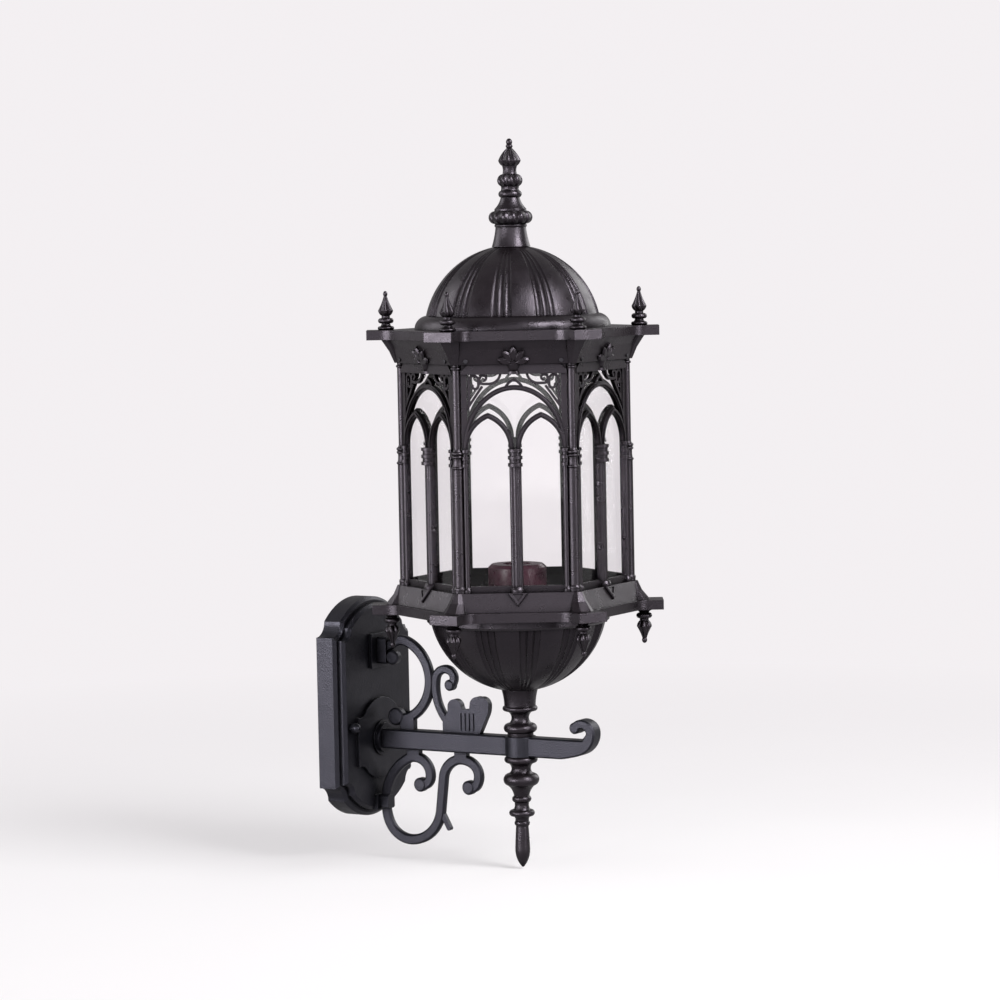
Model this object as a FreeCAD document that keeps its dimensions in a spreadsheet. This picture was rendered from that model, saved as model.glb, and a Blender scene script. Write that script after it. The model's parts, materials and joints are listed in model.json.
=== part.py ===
import FreeCAD, Part
import math
import os
import re
import Sketcher
from FreeCAD import Placement, Rotation, Vector

# Hexagonal wall lantern on a scrolled bracket.
# The wall is the plane Y = 0, the lantern stands out towards -Y and +Z is up.
# The origin is the middle of the two wall bolts.

SIDES = 6
PITCH = 360 / SIDES
FLUTE_GROUPS = 12
FLUTES_IN_GROUP = 3
REEDS = (-1, 0, 1)
LEAVES = (-2, -1, 0, 1, 2)
VEINS = 4
CAPITAL = ("low_ring", "bell", "capital_ring", "capital_top", "spring")
THROUGH = 4
ROOF_SCREWS = 3

# Driving sizes in millimetres and degrees
SIZES = {
    "axis_reach": 183.6,
    "arm_drop": 15.0,
    "plate_rise": 15.0,
    "fit_gap": 0.3,
    # wall plate
    "plate_width": 131.0,
    "plate_height": 211.0,
    "plate_side": 20.7,
    "plate_depth": 27.0,
    "plate_shoulder": 72.0,
    "plate_neck_width": 102.0,
    "plate_neck_rise": 86.0,
    "corner_hollow_share": 0.207,
    "plate_bevel": 3.0,
    "plate_border": 6.0,
    "plate_wall": 4.0,
    "cartouche_width": 82.0,
    "cartouche_height": 78.0,
    "cartouche_shoulder": 23.5,
    "cartouche_neck_width": 52.0,
    "cartouche_neck_rise": 29.5,
    "cartouche_rise": 3.0,
    "upper_pad_width": 30.0,
    "upper_pad_height": 33.0,
    "upper_pad_level": 69.5,
    "lower_pad_width": 22.0,
    "lower_pad_height": 14.0,
    "lower_pad_level": -76.5,
    # wall fixing
    "bar_end_gap": 3.5,
    "bar_height": 26.0,
    "bar_thickness": 2.5,
    "bolt_spacing": 60.0,
    "bolt_hole_radius": 2.75,
    "stud_spacing": 98.0,
    "stud_radius": 2.5,
    "stud_end": 5.0,
    "nut_radius": 5.2,
    "nut_height": 5.0,
    "nut_cap_radius": 4.5,
    "wire_hole_radius": 5.0,
    # arm
    "arm_height": 18.7,
    "arm_width": 15.0,
    "arm_bevel": 1.5,
    "boss_length": 3.5,
    "boss_radius": 16.8,
    "boss_step_radius": 14.0,
    "hub_radius": 14.4,
    "duct_radius": 4.0,
    "curl_start": 44.0,
    "curl_end": 62.2,
    "curl_tip_radius": 5.4,
    "curl_tip_share": 0.4,
    "curl_nape_slope": 0.9,
    "curl_lip_slope": 0.5,
    "arm_bolt_radius": 4.0,
    "arm_bolt_head_radius": 7.0,
    "arm_bolt_head_height": 5.0,
    "arm_bolt_grip": 16.0,
    # scroll brackets
    "scroll_width": 9.6,
    "scroll_thickness": 7.0,
    "scroll_bevel": 1.7,
    "scroll_ball_radius": 8.5,
    "head_ball_radius": 7.0,
    "head_ball_across": 15.0,
    "head_ball_up": 78.1,
    "scroll_small_ball_radius": 6.8,
    "scroll_ball_swell": 1.0,
    "upper_foot_place": 30.5,
    "upper_foot_width": 15.0,
    "branch_width": 8.2,
    "branch_ball_radius": 5.4,
    "barb_width": 4.3,
    "barb_thickness": 5.0,
    "lower_neck_place": 36.5,
    "lower_neck_spacing": 52.5,
    "lower_neck_width": 13.2,
    "lower_neck_height": 7.0,
    "upper_tab_depth": 10.0,
    "upper_tab_height": 25.3,
    "lower_tab_depth": 9.0,
    "lower_tab_height": 13.0,
    "tab_thickness": 12.0,
    "tab_bevel": 1.5,
    "vein_start": 91.0,
    "vein_pitch": 4.6,
    "vein_width": 1.3,
    "vein_depth": 0.9,
    "vein_foot": 2.5,
    "vein_length": 16.5,
    "screw_radius": 2.0,
    "screw_head_radius": 3.6,
    "screw_head_height": 2.6,
    "screw_grip": 8.0,
    # stem
    "tube_radius": 5.0,
    "tube_wall": 1.2,
    "tube_end": 52.0,
    "tube_proud": 6.0,
    "tube_nut_radius": 9.8,
    "tube_nut_height": 5.0,
    # bowl
    "bowl_radius": 83.8,
    "bowl_cut": 8.3,
    "bowl_foot_radius": 17.5,
    "bowl_flange_radius": 85.6,
    "bowl_flange_height": 10.0,
    "bowl_flange_bevel": 2.0,
    "bowl_wall": 4.0,
    "bowl_turn": 7.5,
    "flute_angle": 4.7,
    "flute_depth": 2.2,
    # tray and brims
    "brim_inradius": 106.6,
    "brim_thickness": 9.0,
    "lug_width": 29.0,
    "lug_reach": 136.0,
    "lug_fillet": 16.0,
    "skirt_height": 17.5,
    "skirt_foot_radius": 119.0,
    "skirt_top_radius": 112.5,
    "chamber_inradius": 88.0,
    "corner_rib_width": 9.0,
    "corner_rib_foot_width": 22.0,
    "corner_rib_root": 12.0,
    "tray_rib_reach": 123.5,
    "tray_rib_hollow": 1.6,
    "finial_inset": 18.0,
    "drop_width": 20.5,
    "drop_height": 13.5,
    "drop_rise": 2.0,
    "drop_bevel": 0.8,
    "drop_recess": 0.9,
    "drop_recess_share": 0.5,
    # panels, posts and panes
    "panel_height": 208.0,
    "panel_half_width": 48.0,
    "panel_inradius": 88.2,
    "panel_sheet": 4.0,
    "post_circle": 104.8,
    "edge_width": 5.2,
    "edge_column_inset": 0.2,
    "column_width": 11.0,
    "sill_height": 6.0,
    "spring_drop": 77.0,
    "arch_inset": 0.4,
    "arch_rise": 58.0,
    "arch_band": 4.6,
    "lancet_rise": 28.0,
    "lancet_band": 4.8,
    "rib_width": 1.8,
    "rib_rise": 1.2,
    "rail_height": 9.0,
    "rail_rise": 1.6,
    "rail_corner": 6.0,
    "spandrel_width": 2.4,
    "spandrel_thickness": 3.4,
    "capital_height": 16.0,
    "capital_ring": 1.2,
    "capital_ring_height": 3.0,
    "column_base_height": 5.0,
    "reed_share": 0.5,
    "side_reed_share": 0.37,
    "side_reed_place": 0.58,
    "cup_height": 9.0,
    "cup_foot_radius": 4.4,
    "cup_rim_radius": 7.4,
    "cup_ring_radius": 6.6,
    "cup_ring_height": 2.6,
    "cup_sink": 1.8,
    "pane_width": 92.2,
    "pane_thickness": 3.0,
    # cornice
    "frieze_height": 21.7,
    "frieze_foot_radius": 110.7,
    "frieze_fillet_radius": 113.0,
    "frieze_fillet_rise": 6.0,
    "frieze_swell_radius": 116.0,
    "frieze_swell_rise": 14.0,
    "frieze_top_radius": 121.0,
    "frieze_rib_reach": 122.5,
    "frieze_rib_hollow": 1.2,
    "roof_opening_radius": 72.0,
    "palmette_level": 2.6,
    "palmette_leaf_length": 16.4,
    "palmette_leaf_width": 7.4,
    "palmette_root": 1.6,
    "palmette_rise": 3.2,
    "palmette_bevel": 1.5,
    "palmette_eye_share": 1.7,
    "palmette_widest_share": 0.55,
    "palmette_spread": 37.0,
    "palmette_shrink": 0.04,
    "cornice_screw_inset": 12.0,
    "cornice_screw_level": 3.3,
    "cornice_screw_radius": 1.3,
    "cornice_screw_head_radius": 2.0,
    "cornice_screw_head_height": 1.6,
    "cornice_screw_length": 6.0,
    # dome
    "dome_radius": 82.6,
    "dome_sink": 5.9,
    "dome_wall": 4.0,
    "dome_crown_radius": 16.0,
    "dome_ring_radius": 91.5,
    "dome_ring_height": 12.5,
    "dome_turn": -7.5,
    "roof_screw_circle": 82.5,
    "roof_screw_radius": 2.0,
    "roof_screw_length": 15.0,
    "roof_screw_head_radius": 3.5,
    "roof_screw_head_height": 2.4,
    # lampholder
    "holder_plate_radius": 32.0,
    "holder_plate_thickness": 2.0,
    "holder_radius": 27.3,
    "holder_height": 33.5,
    "holder_lip_radius": 24.0,
    "holder_lip_height": 3.0,
    "holder_hollow_radius": 20.0,
    "holder_hollow_height": 7.0,
    "socket_radius": 13.3,
    "socket_depth": 25.0,
    # wire connector
    "terminal_length": 34.0,
    "terminal_depth": 13.0,
    "terminal_height": 15.0,
    "terminal_level": 50.0,
}

# Shafts of a corner post, which stretch to the springing line and to the top of the panels
POST_SHAFT = ("panel_height - spring_drop - corner_post_base_edge_rise - corner_post_base_ring_rise"
              " - corner_post_low_ring_rise - corner_post_bell_rise - corner_post_capital_ring_rise"
              " - corner_post_capital_top_rise - corner_post_spring_rise")
POST_UPPER_SHAFT = "spring_drop - corner_post_top_ring_rise - corner_post_top_rise"

# Turned pieces from the seat outwards: station, radius, rise from the last station, bulge of the side
TURNED = {
    "upper_baluster": [
        ("seat", 12.2, 0.0, 0.0),
        ("shoulder", 12.2, 3.6, 0.0),
        ("ring", 10.8, 8.6, 4.2),
        ("neck", 13.4, 12.0, -3.8),
        ("bead", 14.8, 4.6, 2.4),
        ("collar", 17.2, 15.9, -0.6),
    ],
    "lower_baluster": [
        ("seat", 13.0, 0.0, 0.0),
        ("ring", 12.6, 6.4, 2.9),
        ("neck", 11.6, 10.0, -3.0),
        ("bulge", 12.6, 11.4, 4.8),
        ("step", 11.4, 1.2, 0.0),
        ("taper", 7.2, 8.7, -0.8),
        ("small_ring", 7.0, 6.0, 2.0),
        ("waist", 8.2, 7.4, -0.9),
        ("low_ring", 8.0, 5.6, 4.0),
        ("foot", 6.4, 4.6, -0.6),
    ],
    "drop_finial": [
        ("seat", 6.2, 0.0, 0.0),
        ("bead", 5.9, 5.0, 1.2),
        ("swell", 7.0, 21.0, 0.1),
        ("tip", 0.8, 18.0, 2.0),
    ],
    "top_finial": [
        ("foot", 18.0, 0.0, 0.0),
        ("collar", 14.2, 18.0, -0.5),
        ("fillet", 14.2, 3.2, 0.9),
        ("gadroon", 14.9, 12.0, 5.9),
        ("shoulder", 14.9, 1.8, 0.0),
        ("cone", 8.8, 10.6, -1.0),
        ("ring", 8.6, 6.5, 2.2),
        ("neck", 8.6, 4.0, -0.4),
        ("ball", 6.8, 11.2, 4.1),
        ("throat", 7.0, 7.6, -0.6),
        ("bud_side", 10.5, 5.0, 0.7),
        ("bud", 2.4, 11.5, 1.0),
        ("bead", 2.2, 3.4, 1.0),
        ("tip", 0.6, 5.4, 1.5),
    ],
    "corner_finial": [
        ("foot", 5.7, 0.0, 0.0),
        ("base_ring", 5.5, 3.4, 2.1),
        ("low_neck", 4.1, 2.8, -0.4),
        ("ring", 4.0, 4.8, 3.2),
        ("neck", 3.9, 2.2, 0.0),
        ("bulb_side", 7.0, 5.0, 0.8),
        ("bulb", 1.5, 13.4, -0.5),
        ("tip", 0.6, 4.6, 1.0),
    ],
    "corner_pendant": [
        ("flange", 7.0, 0.0, 0.0),
        ("flange_edge", 7.0, 1.6, 0.0),
        ("low_neck", 4.5, 2.4, -0.6),
        ("ring", 4.3, 5.0, 3.0),
        ("neck", 4.2, 2.2, 0.0),
        ("bulb_side", 7.0, 5.6, 0.8),
        ("bulb", 2.0, 11.2, -0.4),
        ("tip", 0.6, 4.6, 1.1),
    ],
    "corner_post": [
        ("base", 5.8, 0.0, 0.0),
        ("base_edge", 5.8, 2.4, 0.0),
        ("base_ring", 5.0, 3.4, 0.5),
        ("shaft", 5.0, POST_SHAFT, 0.0),
        ("low_ring", 5.0, 2.6, 1.0),
        ("bell", 4.6, 7.4, -0.3),
        ("capital_ring", 4.6, 2.8, 1.2),
        ("capital_top", 4.4, 3.4, 1.4),
        ("spring", 3.7, 1.8, 0.0),
        ("upper_shaft", 3.7, POST_UPPER_SHAFT, 0.0),
        ("top_ring", 3.7, 2.6, 1.1),
        ("top", 3.7, 2.0, 0.0),
    ],
}

# Bars that follow arcs and runs: start out from the plate and up from the arm's centre line,
# heading, then moves of (name, radius, turn) or (name, length)
BARS = {
    "upper_scroll": (
        6.7, 87.2, 26.9,
        [("root", 14.0), ("head", 13.4, -48.7), ("back", 39.7, -131.5), ("hook", 18.3, -50.2)],
    ),
    "upper_branch": (
        77.2, 15.7, 128.9,
        [("root", 8.0), ("stem", 47.5, -49.2), ("curl", 10.8, -105.8), ("eye", 7.9, -123.1)],
    ),
    "lower_scroll": (
        43.4, -43.1, -9.7,
        [("eye", 9.0, 95.0), ("hook", 16.7, 121.9), ("shoulder", 48.8, 83.8), ("heel", 26.8, 71.3),
         ("loop", 33.9, 80.8), ("rise", 32.3), ("arch", 21.0, -118.4), ("end_hook", 14.1, -86.1),
         ("end_eye", 8.0, -70.0)],
    ),
    "lower_barb": (
        65.0, -66.5, -61.6,
        [("leaf", 19.0)],
    ),
}

# Spandrel bars of a side panel: start across from the middle and up from the top of the panel
SPANDREL = {
    "strap": (-43.6, -41.0, 55.0, [("bar", 26.0)]),
    "curl": (
        -40.8, -37.0, 90.0,
        [("side", 22.6), ("head", 4.3, -180.0), ("fall", 5.0), ("eye", 2.7, -215.0)],
    ),
    "scroll": (
        -12.0, -8.0, -100.0,
        [("stem", 1.0), ("fall", 10.4, -80.0), ("floor", 5.0), ("turn", 3.9, -180.0), ("eye", 2.4, -190.0)],
    ),
    "link": (1.0, -13.5, 200.0, [("bar", 16.0, 40.0)]),
}

# Leaf on the arm: corners out from the plate and up from the arm, with the bulge of the side before
CREST = [
    ("heel", 70.5, 0.0, 0.0), ("back", 70.3, 8.7, 0.0), ("shoulder", 76.0, 20.0, 0.0),
    ("lobe_start", 76.2, 25.6, 0.0), ("lobe_end", 91.0, 25.0, 6.5), ("notch", 92.3, 22.3, 0.0),
    ("saddle", 100.0, 23.0, 0.0), ("curl_start", 100.8, 29.5, 0.0), ("curl_top", 111.2, 35.0, 2.2),
    ("curl_side", 121.2, 26.5, 3.4), ("tip", 119.0, 16.8, 0.6), ("toe", 111.0, 0.0, 0.0),
]

# Free end of the arm: points of its outer and inner edges, across from the axis and up from the centre line
CURL_OUTER = [("heel", 56.3, -7.6), ("belly", 72.4, -2.2), ("front", 82.4, 13.0),
              ("brow", 79.8, 24.0), ("crown", 69.5, 28.9), ("nape", 59.5, 25.2)]
CURL_INNER = [("lip", 62.5, 17.4), ("roof", 69.3, 20.2), ("hollow", 73.4, 16.0), ("floor", 70.2, 11.2)]

for point, across, up, bulge in CREST:
    SIZES[f"crest_{point}_across"] = across
    SIZES[f"crest_{point}_up"] = up
    SIZES[f"crest_{point}_bulge"] = bulge

for point, across, up in CURL_OUTER + CURL_INNER:
    SIZES[f"curl_{point}_across"] = across
    SIZES[f"curl_{point}_up"] = up

for piece, stations in TURNED.items():
    for station, radius, rise, bulge in stations:
        SIZES[f"{piece}_{station}_radius"] = radius
        if not isinstance(rise, str):
            SIZES[f"{piece}_{station}_rise"] = rise
        SIZES[f"{piece}_{station}_bulge"] = bulge

for piece, (across, up, heading, moves) in {**BARS, **SPANDREL}.items():
    SIZES[f"{piece}_start_across"] = across
    SIZES[f"{piece}_start_up"] = up
    SIZES[f"{piece}_heading"] = heading
    for name, *measures in moves:
        for kind, number in zip(("radius", "turn") if len(measures) == 2 else ("length",), measures):
            SIZES[f"{piece}_{name}_{kind}"] = number

doc = FreeCAD.newDocument("wall_lantern")
sheet = doc.addObject("Spreadsheet::Sheet", "Sizes")
for row, (alias, number) in enumerate(SIZES.items(), 1):
    sheet.set(f"A{row}", alias)
    sheet.set(f"B{row}", str(number))
    sheet.setAlias(f"B{row}", alias)
doc.recompute()

WORD = re.compile(r"[a-z][a-z0-9_]*")
nodes = []


def bound(expression):
    """Expression text with every named size pointed at its cell."""
    return WORD.sub(lambda word: f"Sizes.{word[0]}" if word[0] in SIZES else word[0], expression)


def value(expression):
    """Number that an expression of named sizes gives."""
    return float(sheet.evalExpression(bound(expression)))


def size(alias):
    return float(sheet.get(alias))


def bind(item, **expressions):
    """Tie properties to the sheet; Base_x and the like stand for Placement.Base.x."""
    for name, expression in expressions.items():
        path = name.replace("Base_", "Placement.Base.")
        item.setExpression(path, bound(expression))


def node(item, label):
    item.Label = label
    nodes.append(item)
    return item


# Levels along the lantern, as expressions, from the arm upwards
def station_rise(piece, station, rise):
    return f"({rise})" if isinstance(rise, str) else f"{piece}_{station}_rise"


def total_rise(piece):
    return " + ".join(station_rise(piece, station, rise) for station, _, rise, _ in TURNED[piece])


ARM_TOP = "arm_height / 2 - arm_drop"
ARM_BOTTOM = "-arm_height / 2 - arm_drop"
BOWL_FOOT = f"{ARM_TOP} + {total_rise('upper_baluster')}"
BOWL_CENTRE = "sqrt(bowl_radius ^ 2 - bowl_foot_radius ^ 2)"
BRIM_UNDER = f"{BOWL_FOOT} + {BOWL_CENTRE} - bowl_cut"
FLOOR = f"{BRIM_UNDER} + brim_thickness"
PANEL_FOOT = f"{FLOOR} + skirt_height"
FRIEZE_FOOT = f"{PANEL_FOOT} + panel_height"
UPPER_BRIM = f"{FRIEZE_FOOT} + frieze_height"
ROOF = f"{UPPER_BRIM} + brim_thickness"
CROWN_RISE = "sqrt(dome_radius ^ 2 - dome_crown_radius ^ 2) - dome_sink"
SPRING = "panel_height - spring_drop"
FINIAL_CIRCLE = "lug_reach - finial_inset"


# Sketches and turned bodies
def arc_through(start, via, end):
    """Arc of a sketch, which always runs anticlockwise, and whether it starts at the end point."""
    curve = Part.Arc(start, via, end).toShape().Curve
    centre, radius = curve.Center, curve.Radius
    backwards = (via - start).cross(end - via).z < 0
    first, last = (end, start) if backwards else (start, end)
    begin = math.atan2(first.y - centre.y, first.x - centre.x)
    finish = math.atan2(last.y - centre.y, last.x - centre.x)
    if finish <= begin:
        finish += 2 * math.pi
    circle = Part.Circle(centre, Vector(0, 0, 1), radius)
    return Part.ArcOfCircle(circle, begin, finish), backwards


def draw(sketch, path):
    """Closed outline; a corner is (x, y), or (x, y, via) where the side that ends there is an arc."""
    corners = [Vector(value(corner[0]), value(corner[1]), 0) for corner in path]
    geometry, ends, constraints, ties = [], [], [], []
    for i, corner in enumerate(path):
        backwards = False
        if len(corner) == 3:
            via = Vector(value(corner[2][0]), value(corner[2][1]), 0)
            edge, backwards = arc_through(corners[i - 1], via, corners[i])
        else:
            edge = Part.LineSegment(corners[i - 1], corners[i])
        geometry.append(edge)
        ends.append((2, 1) if backwards else (1, 2))

    def pin(index, place, x, y):
        for kind, axis, expression in (("DistanceX", -2, x), ("DistanceY", -1, y)):
            number = value(expression)
            if abs(number) < 1e-9:
                constraints.append(Sketcher.Constraint("PointOnObject", index, place, axis))
            else:
                ties.append((len(constraints), bound(expression)))
                constraints.append(Sketcher.Constraint(kind, -1, 1, index, place, number))

    for i, corner in enumerate(path):
        follower = (i + 1) % len(path)
        constraints.append(Sketcher.Constraint("Coincident", i, ends[i][1], follower, ends[follower][0]))
        pin(i, ends[i][1], corner[0], corner[1])
    sketch.addGeometry(geometry, False)
    for i, corner in enumerate(path):
        if len(corner) == 3:
            spot = Vector(value(corner[2][0]), value(corner[2][1]), 0)
            point = sketch.addGeometry(Part.Point(spot), True)
            constraints.append(Sketcher.Constraint("PointOnObject", point, 1, i))
            pin(point, 1, corner[2][0], corner[2][1])
    sketch.addConstraint(constraints)
    for index, expression in ties:
        sketch.setExpression(f"Constraints[{index}]", expression)


def new_sketch(body, role, name, offset=None):
    sketch = body.newObject("Sketcher::SketchObject", name)
    plane = next(item for item in body.Origin.OriginFeatures if item.Role == role)
    sketch.AttachmentSupport = [(plane, "")]
    sketch.MapMode = "FlatFace"
    if offset:
        sketch.setExpression("AttachmentOffset.Base.z", bound(offset))
    return sketch


def revolve(label, path):
    body = doc.addObject("PartDesign::Body", label)
    sketch = new_sketch(body, "XZ_Plane", f"{label}_profile")
    draw(sketch, path)
    turning = body.newObject("PartDesign::Revolution", f"{label}_turning")
    turning.Profile = sketch
    turning.ReferenceAxis = (sketch, ["V_Axis"])
    turning.Angle = 360
    return node(body, label)


def turned_path(piece, bore="0"):
    """Profile of a turned piece from its seat to its end, round a bore or on the axis."""
    path = [(bore, "0")]
    rise, last = "0", None
    for station, radius, step, bulge in TURNED[piece]:
        name = f"{piece}_{station}"
        before = rise
        rise = f"{rise} + {station_rise(piece, station, step)}"
        corner = (f"{name}_radius", rise)
        if bulge:
            via = (f"({last} + {name}_radius) / 2 + {name}_bulge", f"({before} + {rise}) / 2")
            corner += (via,)
        path.append(corner)
        last = f"{name}_radius"
    path.append((bore, rise))
    return path


def stand(body, level, angle=0.0, circle="0", hanging=False):
    """Place a body on the lantern axis, or on a circle round it."""
    turn = Rotation(Vector(1, 0, 0), 180) if hanging else Rotation()
    body.Placement = Placement(Vector(), turn)
    cosine, sine = round(math.cos(math.radians(angle)), 9), round(math.sin(math.radians(angle)), 9)
    bind(body, Base_x=f"({circle}) * {cosine}", Base_y=f"({circle}) * {sine} - axis_reach", Base_z=level)


def axis_point(level):
    return Vector(0, -size("axis_reach"), value(level))


def part(label, shape, placement=None):
    item = doc.addObject("Part::Feature", label)
    item.Shape = shape
    item.Placement = placement or Placement()
    return node(item, label)


# Wall plate and its fixing
def shield(half_width, half_height, shoulder, neck, neck_rise, middle):
    """Outline with straight sides, hollow corners and an arched top and foot."""
    side = f"({half_width} + {neck}) / 2 - corner_hollow_share * ({half_width} - ({neck}))"
    bend = f"({shoulder} + {neck_rise}) / 2 - corner_hollow_share * ({neck_rise} - ({shoulder}))"
    return [
        (half_width, f"{middle} + {shoulder}"),
        (neck, f"{middle} + {neck_rise}", (side, f"{middle} + {bend}")),
        (f"-({neck})", f"{middle} + {neck_rise}", ("0", f"{middle} + {half_height}")),
        (f"-({half_width})", f"{middle} + {shoulder}", (f"-({side})", f"{middle} + {bend}")),
        (f"-({half_width})", f"{middle} - ({shoulder})"),
        (f"-({neck})", f"{middle} - ({neck_rise})", (f"-({side})", f"{middle} - ({bend})")),
        (neck, f"{middle} - ({neck_rise})", ("0", f"{middle} - ({half_height})")),
        (half_width, f"{middle} - ({shoulder})", (side, f"{middle} - ({bend})")),
    ]


def plate_outline(inset):
    return shield(
        f"plate_width / 2 - ({inset})",
        f"plate_height / 2 - ({inset})",
        f"plate_shoulder - ({inset}) / 2",
        f"plate_neck_width / 2 - ({inset}) / 2",
        f"plate_neck_rise - ({inset})",
        "plate_rise",
    )


def rectangle(width, height, level):
    return [
        (f"{width} / 2", f"{level} - {height} / 2"),
        (f"{width} / 2", f"{level} + {height} / 2"),
        (f"-{width} / 2", f"{level} + {height} / 2"),
        (f"-{width} / 2", f"{level} - {height} / 2"),
    ]


def pad(body, name, path, depth, offset=None):
    sketch = new_sketch(body, "XZ_Plane", f"{name}_outline", offset)
    draw(sketch, path)
    feature = body.newObject("PartDesign::Pad", name)
    feature.Profile = sketch
    feature.setExpression("Length", bound(depth))
    doc.recompute()
    return feature


def pocket(body, name, path, depth):
    sketch = new_sketch(body, "XZ_Plane", f"{name}_outline")
    draw(sketch, path)
    feature = body.newObject("PartDesign::Pocket", name)
    feature.Profile = sketch
    feature.Reversed = True
    before = body.Shape.Volume
    feature.setExpression("Length", bound(depth))
    doc.recompute()
    if body.Shape.Volume >= before:
        raise RuntimeError(f"{name} cuts nothing")
    return feature


def circles(body, name, spots):
    """Round holes right through the plate; a spot is (x, z, radius)."""
    sketch = new_sketch(body, "XZ_Plane", f"{name}_layout")
    for x, z, radius in spots:
        centre = Vector(value(x), value(z), 0)
        hole = sketch.addGeometry(Part.Circle(centre, Vector(0, 0, 1), value(radius)), False)
        index = sketch.addConstraint(Sketcher.Constraint("Radius", hole, value(radius)))
        sketch.setExpression(f"Constraints[{index}]", bound(radius))
        for kind, axis, expression in (("DistanceX", -2, x), ("DistanceY", -1, z)):
            if abs(value(expression)) < 1e-9:
                sketch.addConstraint(Sketcher.Constraint("PointOnObject", hole, 3, axis))
            else:
                index = sketch.addConstraint(
                    Sketcher.Constraint(kind, -1, 1, hole, 3, value(expression)))
                sketch.setExpression(f"Constraints[{index}]", bound(expression))
    feature = body.newObject("PartDesign::Pocket", name)
    feature.Profile = sketch
    feature.Type = "ThroughAll"
    feature.Midplane = True
    doc.recompute()
    return feature


def bevel_front(body, base, name, depth):
    """Chamfer the edges of the front face that lies at a depth from the wall."""
    front = -value(depth)
    picked = []
    for i, edge in enumerate(base.Shape.Edges, 1):
        box = edge.BoundBox
        if abs(box.YMin - front) < 1e-6 and abs(box.YMax - front) < 1e-6:
            picked.append(f"Edge{i}")
    feature = body.newObject("PartDesign::Chamfer", name)
    feature.Base = (base, picked)
    feature.setExpression("Size", bound("plate_bevel"))
    doc.recompute()
    return feature


PAD_FRONT = "plate_depth + cartouche_rise"
BAR_LENGTH = "(plate_width - 2 * plate_wall - 2 * bar_end_gap)"
SCREW_LEVELS = ("upper_pad_level", "lower_pad_level")


def make_back_plate():
    body = doc.addObject("PartDesign::Body", "back_plate")
    side = pad(body, "plate_wall_pad", plate_outline("0"), "plate_side")
    bevel_front(body, side, "plate_edge_bevel", "plate_side")
    face = pad(body, "plate_face_pad", plate_outline("plate_border"), "plate_depth")
    bevel_front(body, face, "plate_face_bevel", "plate_depth")
    cartouche = shield("cartouche_width / 2", "cartouche_height / 2", "cartouche_shoulder",
                       "cartouche_neck_width / 2", "cartouche_neck_rise", "-arm_drop")
    pad(body, "cartouche_pad", cartouche, PAD_FRONT)
    for side in ("upper", "lower"):
        seat = rectangle(f"{side}_pad_width", f"{side}_pad_height", f"{side}_pad_level")
        pad(body, f"{side}_scroll_pad", seat, PAD_FRONT)
    pocket(body, "plate_hollow", plate_outline("plate_wall"), "plate_side - plate_wall")
    pocket(body, "face_hollow", plate_outline("plate_border + plate_wall"), "plate_depth - plate_wall")
    spots = [(f"{side} * stud_spacing / 2", "0", "stud_radius + fit_gap") for side in (-1, 1)]
    spots += [("0", level, "screw_radius + fit_gap / 2") for level in SCREW_LEVELS]
    spots += [("0", "-arm_drop - arm_bolt_radius - fit_gap", "arm_bolt_radius + fit_gap / 2")]
    spots += [("0", "-arm_drop + duct_radius + fit_gap", "duct_radius")]
    circles(body, "plate_holes", spots)
    return node(body, "back_plate")


def along_y(radius, length, x, z, front):
    """Cylinder that runs from a front plane back towards the wall."""
    return Part.makeCylinder(radius, length, Vector(x, -front, z), Vector(0, 1, 0))


def make_wall_fixing():
    front = size("plate_depth")
    bar = doc.addObject("Part::Box", "bar_blank")
    bind(bar, Length=BAR_LENGTH, Width="bar_thickness", Height="bar_height",
         Base_x=f"-{BAR_LENGTH} / 2", Base_y="-bar_thickness", Base_z="-bar_height / 2")
    drills = []
    for side in (-1, 1):
        for spacing, radius in (("bolt_spacing", "bolt_hole_radius"), ("stud_spacing", "stud_radius")):
            drill = doc.addObject("Part::Cylinder", f"bar_drill_{len(drills)}")
            drill.Placement = Placement(Vector(), Rotation(Vector(1, 0, 0), 90))
            bind(drill, Radius=radius, Height="bar_thickness", Base_x=f"{side} * {spacing} / 2")
            drills.append(drill)
    holes = doc.addObject("Part::MultiFuse", "bar_drills")
    holes.Shapes = drills
    drilled = doc.addObject("Part::Cut", "mounting_bar")
    drilled.Base = bar
    drilled.Tool = holes
    node(drilled, "mounting_bar")

    studs, nuts = [], []
    for side in (-1, 1):
        x = side * size("stud_spacing") / 2
        studs.append(along_y(size("stud_radius"), front + size("stud_end"), x, 0, front + size("stud_end")))
        flats = Part.makePolygon([
            Vector(x + size("nut_radius") * math.cos(math.radians(a)), -front,
                   size("nut_radius") * math.sin(math.radians(a))) for a in range(0, 361, 60)])
        hexagon = Part.Face(flats).extrude(Vector(0, -size("nut_height"), 0))
        cap = Part.makeSphere(size("nut_cap_radius"), Vector(x, -front - size("nut_height"), 0))
        bore = along_y(size("stud_radius"), size("stud_end"), x, 0, front + size("stud_end"))
        nuts.append(hexagon.fuse(cap).cut(bore).removeSplitter())
    part("mounting_studs", Part.makeCompound(studs))
    part("cap_nuts", Part.makeCompound(nuts))

    block = doc.addObject("Part::Box", "terminal_block")
    bind(block, Length="terminal_length", Width="terminal_depth", Height="terminal_height",
         Base_x="-terminal_length / 2", Base_y="plate_wall - plate_depth", Base_z="terminal_level")
    node(block, "terminal_block")


# Arm and scroll brackets, drawn in the plane of the arm
def arm_plane(thickness, start):
    """Placement that stands a flat shape, drawn outwards and up, on the arm's centre line."""
    turn = Rotation(Vector(0, -1, 0), Vector(0, 0, 1), Vector(-1, 0, 0), "ZXY")
    return Placement(Vector(thickness / 2, -value(start), -size("arm_drop")), turn)


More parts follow.
